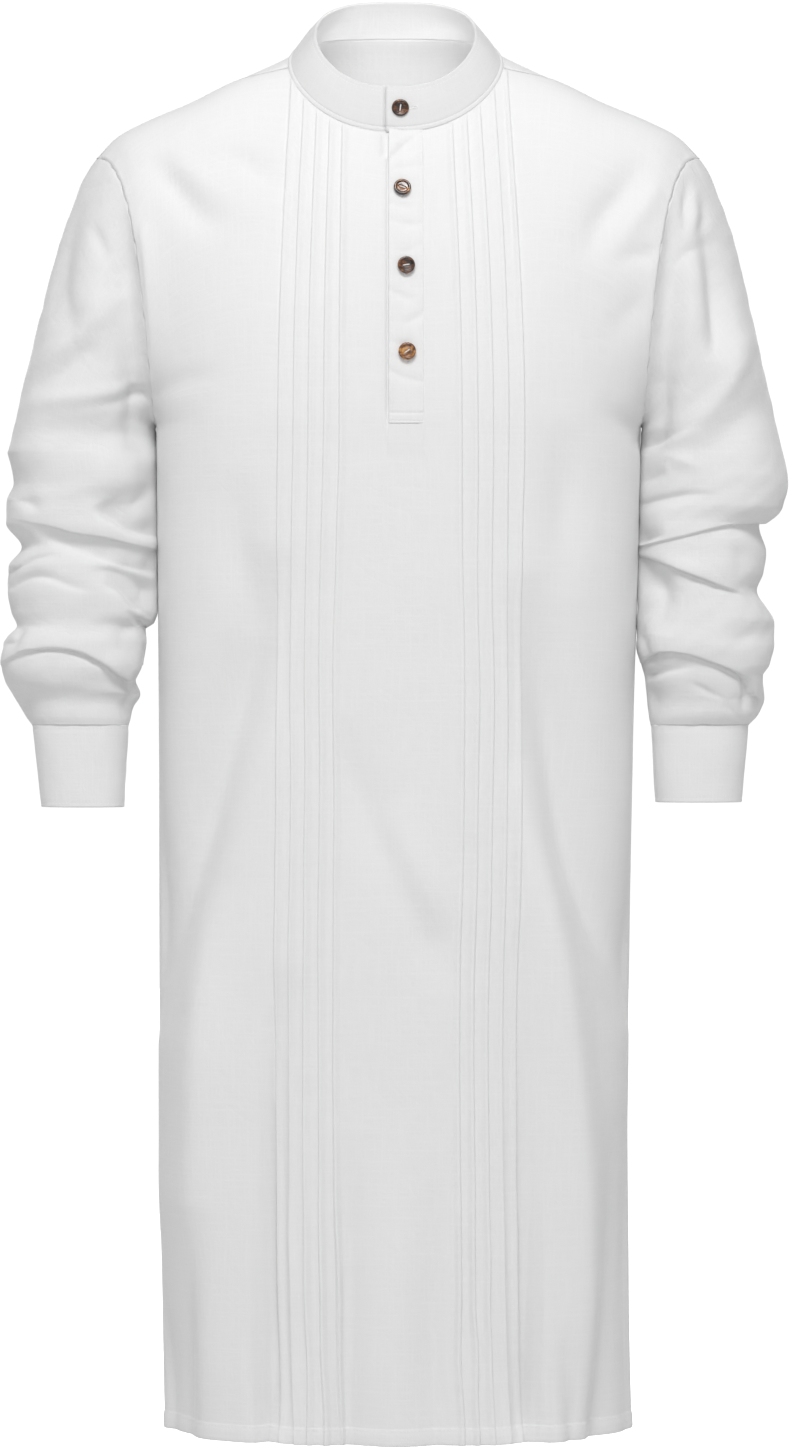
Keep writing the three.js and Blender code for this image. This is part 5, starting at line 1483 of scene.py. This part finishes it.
def strand(seat, offset):
    """A strand of thread across a button's eye, from hole to hole."""
    x = np.linspace(-2.1, 2.1, 3)
    points = np.stack([x, np.full(3, offset), np.full(3, 1.62)], axis=-1)
    return lay(points, seat), np.tile(seat[3], (3, 1))


button_thread = stitches(
    "button_thread",
    [strand(seat, offset) for _, seat in buttons.values() for offset in (-0.27, 0.27)],
    length=4.0,
    gap=0.2,
    thick=0.55,
    sink=0,
    rings=8,
    sides=8,
)
threads += [hole_thread, button_thread]
print("thread:", {piece.name: len(piece.data.polygons) for piece in threads})

# %% [markdown]
# ## Materials
#
# The cloth is a white cotton and linen weave, matt, with a faint bloom where it turns away from the eye.
# Three things make it read as cloth: the weave of single threads, slubs where a thread is thicker, and a
# crumple of fine creases. Each is a node group with named inputs, built once. The weave runs on the piece's
# own UV map, whose unit is a metre of cloth, so threads follow the fabric round every bend. The sleeves
# and the collar are the same cloth in a slightly darker grey, which is painted shade.


# %% Node helpers
def new_group(name, inputs, outputs):
    """An empty shader node group with named number, vector or colour sockets."""
    group = bpy.data.node_groups.new(name, "ShaderNodeTree")
    for socket, kind, default in inputs:
        made = group.interface.new_socket(socket, in_out="INPUT", socket_type=kind)
        made.default_value = default
    for socket, kind in outputs:
        group.interface.new_socket(socket, in_out="OUTPUT", socket_type=kind)
    return group, group.nodes.new("NodeGroupInput"), group.nodes.new("NodeGroupOutput")


def add_node(tree, kind, values=None, **settings):
    """A node with its settings and its unlinked inputs set."""
    node = tree.nodes.new(kind)
    for key, value in settings.items():
        setattr(node, key, value)
    for key, value in (values or {}).items():
        node.inputs[key].default_value = value
    return node


def new_material(name):
    """A new material, its node tree and its Principled shader."""
    material = bpy.data.materials.new(name)
    material.use_nodes = True
    return material, material.node_tree, material.node_tree.nodes["Principled BSDF"]


def calculate(tree, operation, first, second=None, clamp=False):
    """A Math node fed by sockets or numbers; returns its output."""
    node = add_node(tree, "ShaderNodeMath", operation=operation, use_clamp=clamp)
    for index, value in enumerate((first, second)):
        if value is None:
            continue
        if isinstance(value, (int, float)):
            node.inputs[index].default_value = value
        else:
            tree.links.new(value, node.inputs[index])
    return node.outputs[0]


# %% Weave
def build_weave():
    """Plain weave from two crossed sine waves, over and under in turn: height is the larger of the warp's
    and the weft's rounded threads, each raised where it passes over. Noise stretched along a thread makes
    the slubs."""
    group, start, end = new_group(
        "woven threads",
        [
            ("Cloth", "NodeSocketVector", (0, 0, 0)),
            ("Threads per metre", "NodeSocketFloat", 1800.0),
            ("Slub", "NodeSocketFloat", 1.0),
        ],
        [("Height", "NodeSocketFloat"), ("Tone", "NodeSocketFloat")],
    )
    split = add_node(group, "ShaderNodeSeparateXYZ")
    group.links.new(start.outputs["Cloth"], split.inputs[0])
    per_metre = start.outputs["Threads per metre"]
    counts = [calculate(group, "MULTIPLY", split.outputs[k], per_metre) for k in (0, 1)]
    phases = [calculate(group, "MULTIPLY", count, np.pi) for count in counts]
    ridges = [calculate(group, "ABSOLUTE", calculate(group, "SINE", phase)) for phase in phases]
    waves = [calculate(group, "COSINE", phase) for phase in phases]
    turn = calculate(group, "MULTIPLY", waves[0], waves[1])
    warp = calculate(group, "ADD", ridges[0], calculate(group, "MULTIPLY", turn, 0.45))
    weft = calculate(group, "SUBTRACT", ridges[1], calculate(group, "MULTIPLY", turn, 0.45))
    threads_height = calculate(group, "MAXIMUM", warp, weft)
    slubs = []
    for scale in ((420, 22, 1), (22, 420, 1)):
        stretch = add_node(group, "ShaderNodeMapping", {"Scale": scale})
        group.links.new(start.outputs["Cloth"], stretch.inputs["Vector"])
        noise = add_node(group, "ShaderNodeTexNoise", {"Scale": 1.0, "Detail": 1.5, "Roughness": 0.55})
        group.links.new(stretch.outputs[0], noise.inputs["Vector"])
        slubs.append(noise.outputs["Fac"])
    slub = calculate(group, "SUBTRACT", calculate(group, "MAXIMUM", slubs[0], slubs[1]), 0.5)
    slub = calculate(group, "MULTIPLY", slub, start.outputs["Slub"])
    grain = calculate(group, "MULTIPLY", slub, 2.2)
    height = calculate(group, "ADD", calculate(group, "MULTIPLY", threads_height, 0.5), grain)
    group.links.new(height, end.inputs["Height"])
    group.links.new(calculate(group, "ADD", slub, 0.5), end.inputs["Tone"])
    return group


def build_crumple():
    """Fine creases: ridged noise at two sizes on Object coordinates, for what is too small to model."""
    group, start, end = new_group(
        "fine crumple",
        [("Place", "NodeSocketVector", (0, 0, 0)), ("Size", "NodeSocketFloat", 0.03)],
        [("Height", "NodeSocketFloat")],
    )
    scale = calculate(group, "DIVIDE", 1.0, start.outputs["Size"])
    total = None
    for factor, weight, detail in ((1.0, 1.0, 3.0), (2.7, 0.35, 3.0)):
        noise = add_node(group, "ShaderNodeTexNoise", {"Detail": detail, "Roughness": 0.5, "Distortion": 0.6})
        group.links.new(start.outputs["Place"], noise.inputs["Vector"])
        group.links.new(calculate(group, "MULTIPLY", scale, factor), noise.inputs["Scale"])
        ridge = calculate(group, "ABSOLUTE", calculate(group, "SUBTRACT", noise.outputs["Fac"], 0.5))
        part = calculate(group, "MULTIPLY", calculate(group, "POWER", ridge, 0.8), weight)
        total = part if total is None else calculate(group, "ADD", total, part)
    group.links.new(total, end.inputs["Height"])
    return group


weave_group, crumple_group = build_weave(), build_crumple()


# %% Cotton, thread and horn
def cotton_material(name, crumple_size, crumple_depth, light=1.0):
    """White plain weave. Bumps are in metres: threads stand 0.05 mm and crumples some tenths of a
    millimetre. A `light` below 1 darkens the cloth's grey, which paints shade into the colour."""
    material, tree, shader = new_material(name)
    shader.inputs["Roughness"].default_value = 0.92
    shader.inputs["Specular IOR Level"].default_value = 0.25
    shader.inputs["Sheen Weight"].default_value = 0.35
    shader.inputs["Sheen Roughness"].default_value = 0.35
    cloth_map = add_node(tree, "ShaderNodeUVMap", uv_map="cloth")
    place = add_node(tree, "ShaderNodeTexCoord")
    weave = add_node(tree, "ShaderNodeGroup", node_tree=weave_group)
    tree.links.new(cloth_map.outputs[0], weave.inputs["Cloth"])
    crumple = add_node(tree, "ShaderNodeGroup", node_tree=crumple_group)
    crumple.inputs["Size"].default_value = crumple_size
    tree.links.new(place.outputs["Object"], crumple.inputs["Place"])
    tone = add_node(tree, "ShaderNodeMix", data_type="RGBA")
    # light below 1 scales both greys down: painted shade for the sleeves and the collar.
    for socket, grey in (("A", 0.805 * light), ("B", 0.86 * light)):
        tone.inputs[socket].default_value = (grey, grey, grey, 1)
    tree.links.new(weave.outputs["Tone"], tone.inputs["Factor"])
    tree.links.new(tone.outputs["Result"], shader.inputs["Base Color"])
    fine = add_node(tree, "ShaderNodeBump", {"Strength": 1.0, "Distance": 0.00006})
    coarse = add_node(tree, "ShaderNodeBump", {"Strength": 1.0, "Distance": crumple_depth})
    tree.links.new(crumple.outputs["Height"], coarse.inputs["Height"])
    tree.links.new(weave.outputs["Height"], fine.inputs["Height"])
    tree.links.new(coarse.outputs[0], fine.inputs["Normal"])
    tree.links.new(fine.outputs[0], shader.inputs["Normal"])
    return material


def thread_material():
    """White polyester thread: a little glossier than the cloth, with a fine diagonal twist."""
    material, tree, shader = new_material("sewing thread")
    shader.inputs["Base Color"].default_value = (0.87, 0.87, 0.86, 1)
    shader.inputs["Roughness"].default_value = 0.55
    place = add_node(tree, "ShaderNodeTexCoord")
    twist_sizes = {"Scale": 900.0, "Distortion": 1.0, "Detail": 1.0}
    twist = add_node(tree, "ShaderNodeTexWave", twist_sizes, bands_direction="DIAGONAL")
    bump = add_node(tree, "ShaderNodeBump", {"Strength": 0.6, "Distance": 0.00006})
    tree.links.new(place.outputs["Object"], twist.inputs["Vector"])
    tree.links.new(twist.outputs["Fac"], bump.inputs["Height"])
    tree.links.new(bump.outputs[0], shader.inputs["Normal"])
    return material


def build_horn():
    """Horn's cloudy bands: noise, stretched and bent, run through a ramp from near black over brown to
    amber."""
    group, start, end = new_group(
        "horn clouds",
        [
            ("Place", "NodeSocketVector", (0, 0, 0)),
            ("Shift", "NodeSocketVector", (0, 0, 0)),
            ("Amber", "NodeSocketFloat", 0.5),
        ],
        [("Color", "NodeSocketColor"), ("Height", "NodeSocketFloat")],
    )
    moved = add_node(group, "ShaderNodeVectorMath", operation="ADD")
    group.links.new(start.outputs["Place"], moved.inputs[0])
    group.links.new(start.outputs["Shift"], moved.inputs[1])
    stretch = add_node(group, "ShaderNodeMapping", {"Scale": (1.0, 1.0, 2.2), "Rotation": (0.3, 0.5, 0.2)})
    group.links.new(moved.outputs[0], stretch.inputs["Vector"])
    cloud_sizes = {"Scale": 95.0, "Detail": 3.0, "Roughness": 0.55, "Distortion": 0.8}
    cloud = add_node(group, "ShaderNodeTexNoise", cloud_sizes)
    fibre = add_node(group, "ShaderNodeTexNoise", {"Scale": 420.0, "Detail": 2.0, "Distortion": 0.4})
    group.links.new(stretch.outputs[0], cloud.inputs["Vector"])
    group.links.new(stretch.outputs[0], fibre.inputs["Vector"])
    grain = calculate(group, "MULTIPLY", calculate(group, "SUBTRACT", fibre.outputs["Fac"], 0.5), 0.35)
    mixed = calculate(group, "ADD", cloud.outputs["Fac"], grain)
    shifted = calculate(group, "ADD", mixed, calculate(group, "SUBTRACT", start.outputs["Amber"], 0.5))
    ramp = add_node(group, "ShaderNodeValToRGB")
    stops = [
        (0.36, (0.012, 0.005, 0.002)),
        (0.48, (0.07, 0.022, 0.006)),
        (0.58, (0.26, 0.09, 0.018)),
        (0.7, (0.55, 0.26, 0.06)),
    ]
    for element, (position, colour) in zip(list(ramp.color_ramp.elements), (stops[0], stops[-1])):
        element.position = position
        element.color = (*colour, 1)
    for position, colour in stops[1:-1]:
        ramp.color_ramp.elements.new(position).color = (*colour, 1)
    group.links.new(shifted, ramp.inputs[0])
    group.links.new(ramp.outputs[0], end.inputs["Color"])
    group.links.new(fibre.outputs["Fac"], end.inputs["Height"])
    return group


horn_group = build_horn()


def horn_material(number, shift, amber):
    """Polished horn under a thin gloss. `shift` moves the clouds, so that no two buttons are alike."""
    material, tree, shader = new_material(f"polished horn {number}")
    shader.inputs["Roughness"].default_value = 0.28
    shader.inputs["Coat Weight"].default_value = 0.6
    shader.inputs["Coat Roughness"].default_value = 0.12
    place = add_node(tree, "ShaderNodeTexCoord")
    horn = add_node(tree, "ShaderNodeGroup", node_tree=horn_group)
    horn.inputs["Shift"].default_value = shift
    horn.inputs["Amber"].default_value = amber
    bump = add_node(tree, "ShaderNodeBump", {"Strength": 0.15, "Distance": 0.00005})
    tree.links.new(place.outputs["Object"], horn.inputs["Place"])
    tree.links.new(horn.outputs["Color"], shader.inputs["Base Color"])
    tree.links.new(horn.outputs["Height"], bump.inputs["Height"])
    tree.links.new(bump.outputs[0], shader.inputs["Normal"])
    return material


cotton_body = cotton_material("cotton of the body", 0.045, 0.0005)
# The sleeves get a grey 5 % darker than the body's. This is painted shade; the cloth is the same.
cotton_sleeve_painted_shade = cotton_material("cotton of the sleeves with painted shade", 0.032, 0.0007, 0.95)
cotton_band = cotton_material("cotton of the bands", 0.03, 0.0004)
# The collar gets a grey 7 % darker than the body's. This is painted shade; the cloth is the same.
cotton_collar_painted_shade = cotton_material("cotton of the collar with painted shade", 0.03, 0.0004, 0.93)
thread = thread_material()
HORN_LOOKS = {
    1: ((0.1, 0, 0), 0.42),
    2: ((0, 0.3, 0), 0.46),
    3: ((0.2, 0.1, 0), 0.46),
    4: ((0, 0, 0.4), 0.58),
}
horns = {number: horn_material(number, *look) for number, look in HORN_LOOKS.items()}
dressed = {
    cotton_body: [front_panel, back_panel],
    cotton_sleeve_painted_shade: [sleeve_left, sleeve_right],
    cotton_band: [placket_over, placket_under, cuff_left, cuff_right],
    cotton_collar_painted_shade: [collar],
    thread: threads,
}
for material, pieces in dressed.items():
    for piece in pieces:
        piece.data.materials.append(material)
for number, (piece, _) in buttons.items():
    piece.data.materials.append(horns[number])
print("materials:", len(bpy.data.materials))

# %% [markdown]
# ## What each piece stands for
#
# Every piece follows the shirt's one rigid body. The cloth pieces take the place of the imported solids,
# which stay behind for collisions.

# %% Riding and replacing
stands_for = {
    "front_panel": front_panel,
    "back_panel": back_panel,
    "placket_over": placket_over,
    "placket_under": placket_under,
    "collar": collar,
    "sleeve_left": sleeve_left,
    "sleeve_right": sleeve_right,
    "cuff_left": cuff_left,
    "cuff_right": cuff_right,
}
for node, piece in stands_for.items():
    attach(piece, "root")
    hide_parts(node)
for piece in threads:
    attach(piece, "root")
for number, (piece, _) in buttons.items():
    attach(piece, "root")
    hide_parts(f"button_{number}")

# %% [markdown]
# ## Floor and light
#
# White cloth on white shows only by its shading, so the light is large and soft: a broad panel above and in
# front, weaker ones around it, a small one inside the neck, which the collar would keep dark, and a pale
# room all round. Stronger lights at the sides would flatten the folds. The floor is plain and pale, and it
# glows for the camera alone, so that the cloth keeps its shading.

# %% Floor
FLOOR_SIZE, FLOOR_Z = 12.0, -1.35
floor = bpy.data.objects.new("floor", bpy.data.meshes.new("floor"))
corners = [(x * FLOOR_SIZE, y * FLOOR_SIZE, FLOOR_Z) for x, y in ((-1, -1), (1, -1), (1, 1), (-1, 1))]
floor.data.from_pydata(corners, [], [(0, 1, 2, 3)])
bpy.context.scene.collection.objects.link(floor)
pale, pale_tree, pale_shader = new_material("pale floor")
pale_shader.inputs["Base Color"].default_value = (0.75, 0.75, 0.75, 1)
pale_shader.inputs["Roughness"].default_value = 0.9
pale_shader.inputs["Emission Color"].default_value = (1, 1, 1, 1)
seen = add_node(pale_tree, "ShaderNodeLightPath")
glow = calculate(pale_tree, "MULTIPLY", seen.outputs["Is Camera Ray"], 0.95)
pale_tree.links.new(glow, pale_shader.inputs["Emission Strength"])
floor.data.materials.append(pale)


# %% Light
def soft_panel(name, place, target, size, power):
    """A square area light at place, facing target."""
    data = bpy.data.lights.new(name, "AREA")
    data.shape, data.size, data.size_y, data.energy = "RECTANGLE", size[0], size[1], power
    light = bpy.data.objects.new(name, data)
    light.location = place
    direction = np.array(target, float) - np.array(place, float)
    pitch = np.arctan2(np.hypot(direction[0], direction[1]), -direction[2])
    light.rotation_euler = (pitch, 0, np.arctan2(direction[0], direction[1]) * -1)
    bpy.context.scene.collection.objects.link(light)
    return light


soft_panel("key above", (0.0, -2.5, 2.5), (0, 0, -0.35), (1.5, 1.0), 82)
soft_panel("front fill", (0.0, -4.2, 0.1), (0, 0, -0.5), (1.6, 1.6), 16)
soft_panel("left side", (-3.0, -0.5, 0.0), (0, 0, -0.5), (1.4, 2.4), 7)
soft_panel("right side", (3.0, -0.5, 0.0), (0, 0, -0.5), (1.4, 2.4), 5)
soft_panel("behind", (0.0, 3.2, 0.3), (0, 0, -0.5), (1.6, 2.0), 45)
soft_panel("inside the neck", (0, -0.035, -0.03), (0, 0.06, 0.07), (0.1, 0.02), 0.07)

world = bpy.data.worlds.new("pale room")
world.use_nodes = True
sky = world.node_tree
room = sky.nodes["Background"]
room.inputs["Color"].default_value = (1, 1, 1, 1)
path = add_node(sky, "ShaderNodeLightPath")
strength = add_node(sky, "ShaderNodeMix", data_type="FLOAT")
strength.inputs["A"].default_value = 0.38
strength.inputs["B"].default_value = 1.05
sky.links.new(path.outputs["Is Camera Ray"], strength.inputs["Factor"])
sky.links.new(strength.outputs["Result"], room.inputs["Strength"])
bpy.context.scene.world = world
bpy.context.scene.view_settings.view_transform = "Standard"
